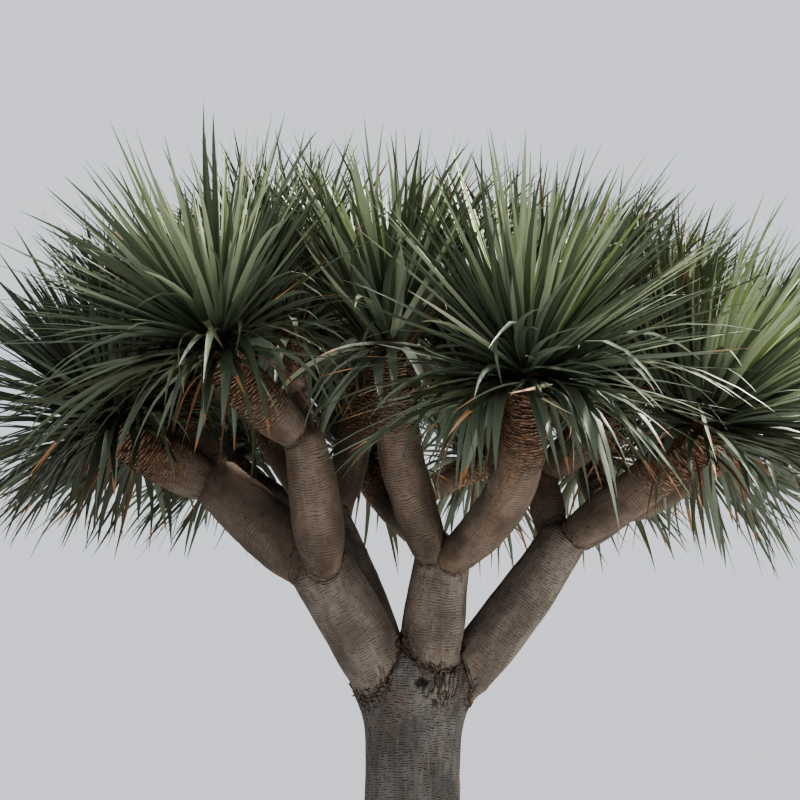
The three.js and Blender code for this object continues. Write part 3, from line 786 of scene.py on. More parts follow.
def group_in_bark(group, labels):
    node = add_node(bark, "ShaderNodeGroup", node_tree=group)
    for label in labels:
        bark.links.new(bark_in.outputs[label], node.inputs[label])
    return node.outputs


clouds = noise_on(bark, here, 9, (1, 1, 0.6), 5.0)
base = mixed(bark, mapped(bark, clouds, 0.34, 0.66), bark_in.outputs["Dark"], bark_in.outputs["Light"])
grain = noise_on(bark, here, 60, (1, 1, 0.25), 4.0)
base = painted(base, mapped(bark, grain, 0.35, 0.75), 0.35, "grain")
warm = mapped(bark, noise_on(bark, here, 13, (1, 1, 0.16), 3.0), 0.54, 0.68)
base = painted(base, warm, 0.32, "warm")

ring_marks = group_in_bark(rings, ("Places", "Pitch", "Broken", "Breaks"))
# Ripples along the rings: the same wave raises the bark and lightens it on its crests, as a painted highlight
# where the relief would catch the light.
rippled = mapped(bark, noise_on(bark, here, 15, (1, 1, 1), 3.0), 0.4, 0.62)
ripples = product(bark, ring_marks["Swell"], rippled, bark_in.outputs["Ripples"])
base = painted(base, ripples, 0.25, "ripple_highlight")
print("sockets of the bark group:", len(bark_in.outputs) - 1, "in,", len(bark_out.inputs) - 1, "out")

# %% Upright cracks and ridges, ring lines, dashes and dots
cracks = thin_lines(bark, noise_on(bark, here, 21, (1, 1, 0.07), 2.0), 0.5, 0.012, 0.002)
cracks = product(bark, cracks, mapped(bark, noise_on(bark, here, 7, (1, 1, 0.5), 2.0), 0.48, 0.62))
base = painted(base, cracks, 0.6, "crack")
ridges = thin_lines(bark, noise_on(bark, here, 17, (1, 1, 0.05), 2.0), 0.47, 0.012, 0.003)
ridges = product(bark, ridges, bark_in.outputs["Ridges"])
base = painted(base, ridges, 0.28, "ridge")

lines = product(bark, ring_marks["Lines"], maths(bark, "SUBTRACT", 1.0, ridges))
strength = mapped(bark, noise_on(bark, here, 10, (1, 1, 1), 3.0), 0.38, 0.66, 0.05, 0.34)
base = painted(base, lines, strength, "ring")
columns = mapped(bark, noise_on(bark, here, 88, (1, 1, 0.1), 1.0), 0.36, 0.48)
dash_noise = mapped(bark, noise_on(bark, here, 55, (1, 1, 2.0), 1.0), 0.38, 0.5)
dashes = product(bark, dash_noise, columns, lines, bark_in.outputs["Dashes"])
base = painted(base, dashes, 1.0, "dash")

dots = add_node(bark, "ShaderNodeTexVoronoi", {"Vector": here, "Scale": 26.0})
few = mapped(bark, dots.outputs["Color"], 0.62, 0.66)
dots = product(bark, mapped(bark, dots.outputs["Distance"], 0.12, 0.06), few)
base = painted(base, dots, 0.75, "dot")
print("nodes in the bark group so far:", len(bark.nodes))

# %% Rust-red skin and seams
rust_noise = mapped(bark, noise_on(bark, here, 34, (1, 1, 1.6), 4.0), 0.36, 0.62)
rust = mixed(bark, rust_noise, colour(44, 32, 26), colour(88, 62, 46))
rusty = product(bark, mapped(bark, bark_in.outputs["Scars"], 0.05, 0.75), 0.9)
base = mixed(bark, rusty, base, rust)

joins = group_in_bark(seams, ("Places", "Gap", "Width"))
plate_tone = mixed(bark, joins["Plates"], colour(78, 62, 52), colour(128, 112, 98))
base = mixed(bark, product(bark, joins["Near"], 0.4), base, plate_tone)
base = painted(base, joins["Dark"], 0.92, "seam")
print("nodes in the bark group so far:", len(bark.nodes))

# %% The torn patch, and painted shade in the hollow
split_noise = noise_on(bark, here, 46, (1, 1, 0.22), 4.0)
splits = thin_lines(bark, split_noise, 0.48, 0.05, 0.008)
splits = product(bark, splits, mapped(bark, bark_in.outputs["Torn"], 0.08, 0.35))
flaky = product(bark, mapped(bark, split_noise, 0.5, 0.64), bark_in.outputs["Torn"])
base = painted(base, flaky, 0.7, "flake")
base = painted(base, splits, 0.85, "split")

# The hollow's darkness is painted shade: a near-black tone with ragged edges over the hollow, whose relief is
# only shallow.
ragged = swing(bark, noise_on(bark, here, 70, (1, 1, 1), 5.0), 1.5)
sunk = mapped(bark, maths(bark, "ADD", bark_in.outputs["Hollow"], ragged), 0.25, 0.75)
sunk = product(bark, sunk, mapped(bark, bark_in.outputs["Hollow"], 0.05, 0.4))
base = painted(base, sunk, 0.9, "hollow")
bark.links.new(base, bark_out.inputs["Color"])
print("nodes in the bark group so far:", len(bark.nodes))

# %% Roughness and height of the bark
HEIGHTS = (
    (ripples, 0.6), (ring_marks["Lines"], -0.4), (cracks, -0.6), (dashes, -0.6), (ridges, 0.5), (grain, 0.45),
    (dots, -0.8), (joins["Dark"], -2.2), (product(bark, joins["Plates"], joins["Near"]), 1.0),
    (splits, -2.2), (flaky, 1.2), (sunk, -2.0),
)
depth = 0.0
for part, amount in HEIGHTS:
    depth = maths(bark, "ADD", depth, product(bark, part, amount))
bark.links.new(depth, bark_out.inputs["Height"])
bark.links.new(mapped(bark, clouds, 0.3, 0.7, 0.78, 0.94), bark_out.inputs["Roughness"])
print("parts of the bark's height:", len(HEIGHTS))


# %% Three skins from the group
def bark_material(name, settings):
    material = bpy.data.materials.new(name)
    material.use_nodes = True
    tree = material.node_tree
    surface = tree.nodes["Principled BSDF"]
    group = add_node(tree, "ShaderNodeGroup", node_tree=bark)
    straight_places = add_node(tree, "ShaderNodeAttribute", attribute_name="straight")
    tree.links.new(straight_places.outputs["Vector"], group.inputs["Places"])
    for label in MARKS:
        mark = add_node(tree, "ShaderNodeAttribute", attribute_name=label.lower())
        tree.links.new(mark.outputs["Fac"], group.inputs[label])
    for label, value in settings.items():
        group.inputs[label].default_value = value
    relief = {"Height": group.outputs["Height"], "Strength": 0.8, "Distance": 0.003}
    bump = add_node(tree, "ShaderNodeBump", relief)
    tree.links.new(group.outputs["Color"], surface.inputs["Base Color"])
    tree.links.new(group.outputs["Roughness"], surface.inputs["Roughness"])
    tree.links.new(bump.outputs["Normal"], surface.inputs["Normal"])
    surface.inputs["Specular IOR Level"].default_value = 0.25
    return material


trunk_skin = bark_material(
    "trunk_skin",
    {
        "Pitch": 0.0086, "Broken": 0.46, "Breaks": 76, "Ripples": 0.1, "Dashes": 0.95, "Ridges": 0.8,
        "Light": colour(109, 106, 103), "Dark": colour(80, 77, 75),
    },
)
limb_skin = bark_material(
    "limb_skin",
    {
        "Pitch": 0.0098, "Broken": 0.49, "Breaks": 36, "Ripples": 0.7, "Dashes": 0.42, "Ridges": 0.3,
        "Light": colour(120, 111, 104), "Dark": colour(87, 79, 73),
    },
)
# Forks and limbs: warmer than the boughs in their own colour, and darker as painted shade of the crown over
# them.
young_shaded_skin = bark_material(
    "young_shaded_skin",
    {
        "Pitch": 0.0098, "Broken": 0.49, "Breaks": 36, "Ripples": 0.7, "Dashes": 0.36, "Ridges": 0.2,
        "Light": colour(110, 97, 87), "Dark": colour(78, 68, 60),
    },
)
SKINS = {"trunk": trunk_skin, "bough": limb_skin, "fork": young_shaded_skin, "limb": young_shaded_skin}
for name, piece in bark_pieces.items():
    piece.data.materials.append(SKINS[name.split("_")[0]])
    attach(piece, "root")
    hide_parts(name)
print("skins:", trunk_skin.name, limb_skin.name, young_shaded_skin.name)

# %% [markdown]
# Many small things as one mesh.
# Leaves, leaf scars and flakes of bark repeat by the hundred. Each kind is modelled once. Its points are
# then copied in one array, bent and placed by sums over the whole array, and joined into one piece, because
# thousands of separate objects would be slow, and instances are lost when the model is used elsewhere.

# %% A pattern shape, and its copies as one piece
Pattern = namedtuple("Pattern", "points faces")


def pattern_of(piece):
    """Reads a modelled piece's points and triangles and removes the piece."""
    bpy.ops.object.mode_set(mode="EDIT")
    bpy.ops.mesh.select_all(action="SELECT")
    bpy.ops.mesh.quads_convert_to_tris()
    bpy.ops.object.mode_set(mode="OBJECT")
    corners = np.empty(len(piece.data.polygons) * 3, np.int32)
    piece.data.polygons.foreach_get("vertices", corners)
    pattern = Pattern(points_of(piece.data), corners.reshape(-1, 3))
    bpy.data.objects.remove(piece)
    return pattern


def joined_copies(name, pattern, places, material, smooth_angle=math.radians(50)):
    """One piece from places: for every copy, the place of each of the pattern's points."""
    count, size, _ = places.shape
    faces = (pattern.faces[None] + size * np.arange(count)[:, None, None]).reshape(-1, 3)
    mesh = bpy.data.meshes.new(name)
    mesh.vertices.add(count * size)
    mesh.vertices.foreach_set("co", places.astype(np.float32).ravel())
    mesh.loops.add(faces.size)
    mesh.loops.foreach_set("vertex_index", faces.astype(np.int32).ravel())
    mesh.polygons.add(len(faces))
    mesh.polygons.foreach_set("loop_start", np.arange(0, faces.size, 3, dtype=np.int32))
    mesh.update(calc_edges=True)
    mesh.validate()
    piece = bpy.data.objects.new(name, mesh)
    bpy.context.scene.collection.objects.link(piece)
    bpy.ops.object.select_all(action="DESELECT")
    piece.select_set(True)
    bpy.context.view_layer.objects.active = piece
    bpy.ops.object.shade_smooth_by_angle(angle=smooth_angle)
    mesh.materials.append(material)
    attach(piece, "root")
    print(f"{name}: {count} copies, {len(faces)} triangles")
    return piece


# %% [markdown]
# Leaf scars.
# Below each rosette the stem is wrapped in rows of crescents: the torn bases of fallen leaves, brown and
# fibrous, with rust-red skin between them. Near the leaves they stand out, and further down they are worn
# away. They could be relief in the bark, but a scar has an edge that stands free, so each is a small solid
# of its own. One crescent is a bar drawn out to a point at both ends. Its copies are set round the stem
# side by side, in a ring that winds upwards, about a centimetre from one turn to the next.

# %% One crescent
def drawn_bar(name, stations, sizes):
    """A four-sided bar along Z through the stations, closed to a point at the far end."""
    bpy.ops.object.select_all(action="DESELECT")
    bpy.ops.mesh.primitive_circle_add(
        vertices=4, radius=sizes[0], fill_type="NGON", location=(0, 0, stations[0]), enter_editmode=True
    )
    bpy.ops.mesh.select_mode(type="FACE")
    bpy.ops.mesh.select_all(action="SELECT")
    for low, high, before, after in zip(stations, stations[1:], sizes, sizes[1:]):
        extrude_ring(high - low, max(after, 0.01) / before)
    bpy.ops.mesh.merge(type="CENTER")
    bpy.ops.mesh.select_all(action="SELECT")
    bpy.ops.mesh.normals_make_consistent(inside=False)
    bpy.ops.object.mode_set(mode="OBJECT")
    bpy.ops.object.transform_apply(location=True, rotation=True, scale=True)
    piece = bpy.context.object
    piece.name = name
    return piece


crescent = pattern_of(drawn_bar("crescent", (-1, -0.6, -0.2, 0.2, 0.6, 1), (0.15, 0.72, 1, 1, 0.72, 0)))
print("crescent:", len(crescent.points), "points,", len(crescent.faces), "triangles")

# %% Crescents round every stem
SCAR_PITCH = 0.00092
SCARS_IN_RING = 11.5
SCARS_UP_TO = 0.3
SCARS_DOWN_TO = 0.9
CRESCENT_HALF = 0.027
SUNK = 0.001
SCAR_SCATTER = 0.0017
SCAR_STAND = (0.0015, 0.0045)
SCAR_THICK = (0.0016, 0.0014)
SCAR_SLOPE = 0.004
SCAR_SAG = 0.004


def crescents_on(name, random):
    """Places of all crescents on one stem, in rings that wind up to where its leaves begin."""
    length, tip = LIMBS[name].length, LIMBS[name].radius[2]
    count = round((SCAR_LENGTH * SCARS_DOWN_TO + HEAD_LENGTH * SCARS_UP_TO) / SCAR_PITCH)
    index = np.arange(count)
    fresh = (index + 0.5) / count
    height = length + HEAD_LENGTH * SCARS_UP_TO - (1 - fresh) * count * SCAR_PITCH
    height += random.normal(0, SCAR_SCATTER, count)
    turn = (index + random.uniform(-0.3, 0.3, count)) * 2 * math.pi / SCARS_IN_RING
    radius = radius_at(name, np.clip(height / length, 0, 1)) * np.where(height > length, 0.99, 1)
    half = CRESCENT_HALF * random.uniform(0.6, 1.25, count) / radius
    stand = (SCAR_STAND[0] + SCAR_STAND[1] * fresh ** 1.5) * random.uniform(0.5, 1.4, count)
    thick = SCAR_THICK[0] + SCAR_THICK[1] * fresh
    slope = random.uniform(-SCAR_SLOPE, SCAR_SLOPE, count)

    along, radial, upward = crescent.points[:, 2], crescent.points[:, 0], crescent.points[:, 1]
    angle = turn[:, None] + along[None] * half[:, None]
    out = radius[:, None] - SUNK + (radial + 0.6) * stand[:, None]
    rise = height[:, None] - SCAR_SAG * along ** 2 + upward * thick[:, None] + slope[:, None] * along
    rise = rise + 0.45 * (radial + 0.6) * stand[:, None]
    straight = np.stack([out * np.cos(angle), out * np.sin(angle), rise], axis=-1)
    return laid_along(name, straight.reshape(-1, 3)).reshape(straight.shape)


def fibre_material(name, light, dark):
    material = bpy.data.materials.new(name)
    material.use_nodes = True
    tree = material.node_tree
    surface = tree.nodes["Principled BSDF"]
    where = add_node(tree, "ShaderNodeTexCoord").outputs["Object"]
    fibres = noise_on(tree, where, 90, (1, 1, 1), 5.0)
    tree.links.new(mixed(tree, mapped(tree, fibres, 0.36, 0.64), dark, light), surface.inputs["Base Color"])
    bump = add_node(tree, "ShaderNodeBump", {"Height": fibres, "Strength": 0.5, "Distance": 0.002})
    tree.links.new(bump.outputs["Normal"], surface.inputs["Normal"])
    surface.inputs["Roughness"].default_value = 0.85
    return material


torn_fibre = fibre_material("torn_fibre", colour(146, 124, 104), colour(84, 60, 46))
half_way = len(CARRIERS) // 2
SCAR_SHARES = {"left": CARRIERS[:half_way], "right": CARRIERS[half_way:]}
for share_name, names in SCAR_SHARES.items():
    scar_places = np.concatenate([crescents_on(name, random) for name in names])
    piece = joined_copies("leaf_scars_" + share_name, crescent, scar_places, torn_fibre)

# %% [markdown]
# Torn bark at the seams, and twig stubs.
# Where boughs meet the trunk, the old bark has torn into small curled flakes, and the stubs of a few dead
# twigs stick out of the collar. The relief alone would leave these seams too smooth. A flake is a short,
# thick copy of the crescent, set at points of the bark that lie close to a seam, and most stand upright.
# The points are sorted by place before some are picked, because a mesh shaped in edit mode may number its
# points in another order the next time. A stub is drawn out in three steps.

# %% Flakes along the seams
FLAKES = {"trunk": 260, "bough": 44, "fork": 34, "limb": 20}
FLAKE_HALF = (0.004, 0.009)
FLAKE_STAND = (0.001, 0.0035)
FLAKE_WIDTH = 0.5
FLAKE_CURL = 0.25
FLAKES_WITHIN = 1.3
SORTED_ALONG = np.array([0.61, 0.35, 0.71])


def flakes_on(name, random):
    """Places of the flakes on one bark piece, mostly upright and close to its seams."""
    mesh = bark_pieces[name].data
    places = points_of(mesh)
    normals = np.empty(len(mesh.vertices) * 3, np.float32)
    mesh.vertex_normals.foreach_get("vector", normals)
    normals = normals.reshape(-1, 3)
    gap, width = (np.empty(len(places), np.float32) for _ in range(2))
    mesh.attributes["gap"].data.foreach_get("value", gap)
    mesh.attributes["width"].data.foreach_get("value", width)
    near = np.flatnonzero((np.abs(gap) < FLAKES_WITHIN * width) & (places[:, 2] > 1))
    near = near[np.argsort(places[near] @ SORTED_ALONG)]
    count = min(FLAKES[name.split("_")[0]], len(near))
    at = random.choice(near, count, replace=False)
    out = normals[at]
    up = unit(UP - out * out[:, 2:3] + random.normal(0, 0.5, (count, 3)))
    up = unit(up - out * np.einsum("ij,ij->i", up, out)[:, None])
    side = np.cross(up, out)
    half = random.uniform(*FLAKE_HALF, count)[:, None, None]
    stand = random.uniform(*FLAKE_STAND, count)[:, None, None]
    along, radial, across = (crescent.points[None, :, k, None] for k in (2, 0, 1))
    flat = up[:, None] * along * half + side[:, None] * across * half * FLAKE_WIDTH
    raised = out[:, None] * ((radial + 0.3) * stand + FLAKE_CURL * half * along ** 2)
    return places[at][:, None] + flat + raised


old_bark = fibre_material("old_bark", colour(112, 94, 80), colour(52, 40, 33))
flake_places = np.concatenate([flakes_on(name, random) for name in bark_pieces])
piece = joined_copies("bark_flakes", crescent, flake_places, old_bark)

# %% Twig stubs
Stub = namedtuple("Stub", "foot turn rise length")

STUBS = (
    Stub((-0.196, -0.06, 1.945), 158, 20, 0.04),
    Stub((-0.192, -0.05, 1.918), 171, -8, 0.026),
    Stub((-0.186, -0.09, 1.93), 205, 30, 0.022),
)
STUB_RADIUS = 0.0042
STUB_STEPS = ((0.4, 0.8), (0.35, 1.05), (0.25, 0.45))


def stub_at(name, stub):
    bpy.ops.object.select_all(action="DESELECT")
    bpy.ops.mesh.primitive_circle_add(vertices=6, radius=STUB_RADIUS, fill_type="NGON", enter_editmode=True)
    bpy.ops.mesh.select_mode(type="FACE")
    bpy.ops.mesh.select_all(action="SELECT")
    for share, ratio in STUB_STEPS:
        extrude_ring(stub.length * share, ratio)
    bpy.ops.mesh.select_all(action="SELECT")
    bpy.ops.mesh.normals_make_consistent(inside=False)
    bpy.ops.object.mode_set(mode="OBJECT")
    piece = bpy.context.object
    piece.name = name
    piece.rotation_euler = (0, math.radians(90 - stub.rise), math.radians(stub.turn))
    piece.location = stub.foot
    bpy.ops.object.transform_apply(location=True, rotation=True, scale=True)
    piece.data.materials.append(torn_fibre)
    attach(piece, "root")


for number, stub in enumerate(STUBS):
    stub_at(f"twig_stub_{number}", stub)
print("twig stubs:", len(STUBS))

# %% [markdown]
# Leaves.
# A leaf is a stiff sword: broadest a little way from its foot, drawn out to a needle, and slightly
# channelled above. One blade is drawn as a flat four-sided bar. The youngest leaves stand straight up along
# the rosette's axis. Each older one is turned by the golden angle, leans further out, and arches under its
# own weight. Some of the middle-aged ones arch much more, and some of the oldest hang down, shorter and
# broader than the rest. The wind leans the leaves on the right side of the crown a little to the right.
# Leaves could be scattered by hand, but a rule fills all rosettes alike. It is the one that places the
# larger blades of the solids, with more and finer leaves.

# %% One blade
BLADE_OUTLINE = (
    (0, 0.7), (0.06, 0.86), (0.2, 1.0), (0.36, 0.94), (0.52, 0.8),
    (0.68, 0.6), (0.83, 0.36), (0.94, 0.15), (1, 0.0),
)
blade_stations = [share for share, _ in BLADE_OUTLINE]
blade_sizes = [1] * (len(BLADE_OUTLINE) - 1) + [0]
blade = pattern_of(drawn_bar("blade", blade_stations, blade_sizes))
print("blade:", len(blade.points), "points,", len(blade.faces), "triangles")

# %% Sizes in the rule that sets the leaves
GOLDEN_TURN = math.pi * (3 - math.sqrt(5))
LEAVES = 420
LEAF_LENGTH = 0.77
LEAF_GAIN = 0.03
LEAF_WIDTH = 0.0245
LEAF_THICKNESS = 0.0022
POLAR_YOUNG = math.radians(7)
POLAR_OLD = math.radians(108)
POLAR_LAW = 0.8
POLAR_SPREAD = ((0, 0.25, 1), (0, 0.12, 0.19))
TURN_SPREAD = 0.4
LENGTH_SPREAD = (0.74, 1.0)
WIDTH_SPREAD = (0.7, 1.15)
BEND = (0.03, 0.55, 0.35)
BEND_SPREAD = (0.1, 1.9)
SWAY_SPREAD = ((0, 0.4, 1), (0.1, 0.2, 0.5))
TWIST_SPREAD = 0.6
LOWEST_START = -0.27
FIRST_LEAF = np.array([0.3, 1, 0])
ROOT_HEIGHT = (0.38, 0.42)
ROOT_RADIUS = 0.8
YOUNGEST_SHARE = 0.6
GROWN_AGE = 0.1
ARCHED = {"from": 0.42, "to": 0.9, "share": 0.28, "bend": (0.4, 1.7), "wide": 1.15}
HANGING = {"from": 0.8, "share": 0.18, "bend": (2.0, 4.5), "length": (0.5, 0.8), "wide": 1.7}

Leaves = namedtuple("Leaves", "rosette age root start side length wide bend sway twist")
print("leaves to try:", LEAVES * len(CARRIERS))


# %% The leaves of one rosette
def leaves_of(number, name, random):
    """The first settings of every leaf of one rosette, from the youngest to the oldest."""
    base, _, axis = rosette_at(name)
    index = np.arange(LEAVES)
    age = (index + 0.5) / LEAVES
    polar = POLAR_YOUNG + (POLAR_OLD - POLAR_YOUNG) * age ** POLAR_LAW
    polar = polar + random.normal(0, 1, LEAVES) * np.interp(age, *POLAR_SPREAD)
    turn = index * GOLDEN_TURN + random.uniform(-TURN_SPREAD, TURN_SPREAD, LEAVES)
    east = unit(np.cross(axis, FIRST_LEAF))
    north = np.cross(axis, east)
    outward = np.cos(turn)[:, None] * east + np.sin(turn)[:, None] * north
    start = np.cos(polar)[:, None] * axis + np.sin(polar)[:, None] * outward
    lift = HEAD_LENGTH * (ROOT_HEIGHT[0] + ROOT_HEIGHT[1] * np.cos(polar))
    root = base + lift[:, None] * axis
    root = root + (LIMBS[name].radius[2] * ROOT_RADIUS * np.sin(polar))[:, None] * outward
    grown = YOUNGEST_SHARE + (1 - YOUNGEST_SHARE) * np.minimum(age / GROWN_AGE, 1)
    length = LEAF_LENGTH * (1 + LEAF_GAIN * base[0]) * grown * random.uniform(*LENGTH_SPREAD, LEAVES)
    bend = (BEND[0] + BEND[1] * age ** 2 + BEND[2] * age ** 4) * random.uniform(*BEND_SPREAD, LEAVES)
    arched = (age > ARCHED["from"]) & (age < ARCHED["to"]) & (random.random(LEAVES) < ARCHED["share"])
    bend = np.where(arched, bend + random.uniform(*ARCHED["bend"], LEAVES), bend)
    hanging = (age > HANGING["from"]) & (random.random(LEAVES) < HANGING["share"])
    bend = np.where(hanging, random.uniform(*HANGING["bend"], LEAVES), bend)
    length = np.where(hanging, length * random.uniform(*HANGING["length"], LEAVES), length)
    wide = LEAF_WIDTH * random.uniform(*WIDTH_SPREAD, LEAVES)
    wide = wide * np.where(arched, ARCHED["wide"], 1) * np.where(hanging, HANGING["wide"], 1)
    sway = random.normal(0, 1, LEAVES) * np.interp(age, *SWAY_SPREAD)
    twist = random.normal(0, TWIST_SPREAD, LEAVES)
    side = np.cross(axis, outward)
    return Leaves(np.full(LEAVES, number), age, root, start, side, length, wide, bend, sway, twist)


def joined(groups):
    return Leaves(*(np.concatenate(values) for values in zip(*groups)))


def chosen(leaves, keep):
    return Leaves(*(values[keep] for values in leaves))


first_leaves = leaves_of(0, CARRIERS[0], np.random.default_rng(0))
print("widths on one rosette, mm:", np.round(1000 * np.percentile(first_leaves.wide, (0, 50, 100)), 1))

# %% [markdown]
# Broad leaves that hang in front.
# Under the largest rosette at the front, a handful of broad old leaves has sunk over the stem and hangs
# straight down beside it. The rule would put too few there, so they are leaves of their own, on the front
# side only, with such a strong bend that they turn down at once.

# %% Draped leaves
DRAPED = {"limb_front_right": 13, "limb_front_left": 2}
DRAPED_AGE = 0.85
DRAPED_TURNS = (-140, -30)
DRAPED_RISE = (-0.6, 0.1)
DRAPED_BEND = (3, 7)
DRAPED_WIDE = (1.4, 1.8)
DRAPED_LENGTH = (0.5, 0.85)


def draped_of(number, name, random):
    base, _, axis = rosette_at(name)
    count = DRAPED[name]
    outward = heading(np.radians(random.uniform(*DRAPED_TURNS, count)), 0)
    start = unit(outward + UP * random.uniform(*DRAPED_RISE, count)[:, None])
    root = base + axis * HEAD_LENGTH * 0.3 + outward * LIMBS[name].radius[2] * ROOT_RADIUS
    length = LEAF_LENGTH * random.uniform(*DRAPED_LENGTH, count)
    bend = random.uniform(*DRAPED_BEND, count)
    wide = LEAF_WIDTH * random.uniform(*DRAPED_WIDE, count)
    sway, twist = random.normal(0, 0.9, count), random.normal(0, 0.4, count)
    age, side = np.full(count, DRAPED_AGE), np.cross(axis, outward)
    return Leaves(np.full(count, number), age, root, start, side, length, wide, bend, sway, twist)


print("draped leaves to try:", sum(DRAPED.values()))

# %% [markdown]
# The curve of a leaf, and which leaves are kept.
# A leaf is a chain of short straight steps, each turned a little further down and aside than the one
# before. No leaf may run through a limb or far into the next rosette. One that would is tried again, first
# stood up more steeply and then cut shorter, and is left out if nothing helps. The limbs stand in as rows
# of balls again.

# %% Middle lines of leaves
WIND = 0.28
BEND_STEPS = np.linspace(0, 1, 25)
BEND_LAW = 1.6


def curves_of(leaves, raised, reach):
    """Points of the leaves' middle lines and the directions there, for leaves stood up or cut by a share."""
    start = leaves.start + (UP - leaves.start) * raised
    start[:, 2] = np.maximum(start[:, 2], LOWEST_START)
    start = unit(start)
    bend = leaves.bend * (1 - raised)
    wind = WIND * np.maximum(leaves.root[:, 0], 0)
    pull = leaves.side * leaves.sway[:, None] - UP * bend[:, None] + RIGHT * wind[:, None]
    direction = unit(start[:, None, :] + pull[:, None, :] * BEND_STEPS[None, :, None] ** BEND_LAW)
    step = (leaves.length * reach)[:, None, None] / (len(BEND_STEPS) - 1)
    middle = (direction[:, 1:] + direction[:, :-1]) / 2 * step
    travelled = np.concatenate([np.zeros((len(start), 1, 3)), np.cumsum(middle, axis=1)], axis=1)
    return leaves.root[:, None, :] + travelled, direction


first_lines, _ = curves_of(first_leaves, 0, 1)
print("first rosette's lowest leaf point:", round(first_lines[:, :, 2].min(), 2), "m above the ground")

# %% Hubs of the rosettes, and balls for the limbs
HUB_HEIGHT = 0.7
BALL_STEP = 0.05
OWN_BALLS_FROM = 0.8
NO_OWNER = -1

hubs = []
for name in CARRIERS:
    base, _, axis = rosette_at(name)
    hubs.append(base + axis * HEAD_LENGTH * HUB_HEIGHT)
hubs = np.array(hubs)

balls = []
for name, row in LIMBS.items():
    shares = np.linspace(0, 1, math.ceil(row.length / BALL_STEP) + 1)
    owner = CARRIERS.index(name) if name in CARRIERS else NO_OWNER
    for centre, size, share in zip(line_points(name, shares), radius_at(name, shares), shares):
        balls.append((*centre, size, owner if share > OWN_BALLS_FROM else NO_OWNER))
balls = np.array(balls)
print("balls that stand for the limbs:", len(balls))

# %% Setting the leaves
SPACE_OVERLAP = (0.22, 0.06)
LIMB_MARGIN = 0.008
RAISES = (0, 0.2, 0.4, 0.6)
REACHES = (1, 0.84, 0.68, 0.52)
FIRST_TESTED = 4
AT_ONCE = 4000


def clear(leaves, lines):
    """True for a leaf that stays near its own rosette and off every limb but the one it grows on."""
    tested = lines[:, FIRST_TESTED::2]
    flat = tested.reshape(-1, 3)
    own = np.repeat(leaves.rosette, tested.shape[1])
    past = np.full(len(flat), -1.0)
    allowed = np.interp(np.repeat(leaves.age, tested.shape[1]), (0, 1), SPACE_OVERLAP)
    for number, hub in enumerate(hubs):
        towards = hub - hubs[own]
        apart = np.linalg.norm(towards, axis=1)
        apart[own == number] = np.inf
        along = np.einsum("ij,ij->i", flat - hubs[own], towards) / np.where(apart < np.inf, apart, 1)
        past = np.maximum(past, along - apart / 2)
    free = past < allowed
    for low in range(0, len(flat), AT_ONCE):
        part = slice(low, low + AT_ONCE)
        reach = np.linalg.norm(flat[part, None, :] - balls[None, :, :3], axis=2) - balls[:, 3]
        reach[own[part, None] == balls[None, :, 4]] = 1
        free[part] &= reach.min(axis=1) > LIMB_MARGIN
    return free.reshape(tested.shape[:2]).all(axis=1)


def set_leaves(leaves):
    """Tries every leaf as it is, then stood up, then cut shorter, and skips those that never come clear."""
    waiting = np.arange(len(leaves.age))
    lines = np.zeros((len(waiting), len(BEND_STEPS), 3))
    directions = np.zeros_like(lines)
    placed = np.zeros(len(waiting), bool)
    for reach, raised in itertools.product(REACHES, RAISES):
        tried, way = curves_of(chosen(leaves, waiting), raised, reach)
        good = clear(chosen(leaves, waiting), tried)
        lines[waiting[good]] = tried[good]
        directions[waiting[good]] = way[good]
        placed[waiting[good]] = True
        waiting = waiting[~good]
        if not len(waiting):
            break
    return chosen(leaves, placed), lines[placed], directions[placed]


by_rule = [leaves_of(number, name, random) for number, name in enumerate(CARRIERS)]
draped = [draped_of(CARRIERS.index(name), name, random) for name in DRAPED]
all_leaves = joined(by_rule + draped)
leaves, lines, directions = set_leaves(all_leaves)
print("leaves set:", len(leaves.age), "of", len(all_leaves.age))
last_ages = leaves.age[-sum(DRAPED.values()):]
print("of these draped over the front of a stem:", np.count_nonzero(last_ages == DRAPED_AGE))

# %% Blades along the middle lines
BLADE_CHANNEL = 0.34
THICK_AT_FOOT = 1.15


def blades(leaves, lines, directions, first=0.0, last=1.0, grown=1.0):
    """Places of the blade pattern's points for every leaf, between two shares of its length."""
    share = first + (last - first) * blade.points[:, 2]
    step = share * (len(BEND_STEPS) - 1)
    low = np.minimum(step.astype(int), len(BEND_STEPS) - 2)
    part = (step - low)[None, :, None]
    middle = lines[:, low] * (1 - part) + lines[:, low + 1] * part
    along = unit(directions[:, low] * (1 - part) + directions[:, low + 1] * part)
    side = leaves.side[:, None, :] - np.einsum("ijk,ik->ij", along, leaves.side)[..., None] * along
    side = unit(side)
    above = np.cross(along, side)
    spun = leaves.twist[:, None] * share[None]
    side, above = (
        side * np.cos(spun)[..., None] + above * np.sin(spun)[..., None],
        above * np.cos(spun)[..., None] - side * np.sin(spun)[..., None],
    )
    shares, widths = zip(*BLADE_OUTLINE)
    half = grown * leaves.wide[:, None] / 2 * np.interp(share, shares, widths)[None]
    across = blade.points[:, 0] * half
    thick = grown * LEAF_THICKNESS / 2 * (THICK_AT_FOOT - share)
    channel = BLADE_CHANNEL * half * (1 - np.abs(blade.points[:, 0])) * (blade.points[:, 2] < 1)
    lift = blade.points[:, 1] * thick - channel
    return middle + side * across[..., None] + above * lift[..., None]


first_blade = blades(chosen(leaves, slice(0, 1)), lines[:1], directions[:1])[0]
print("first blade's box, m:", np.round(first_blade.max(axis=0) - first_blade.min(axis=0), 2))

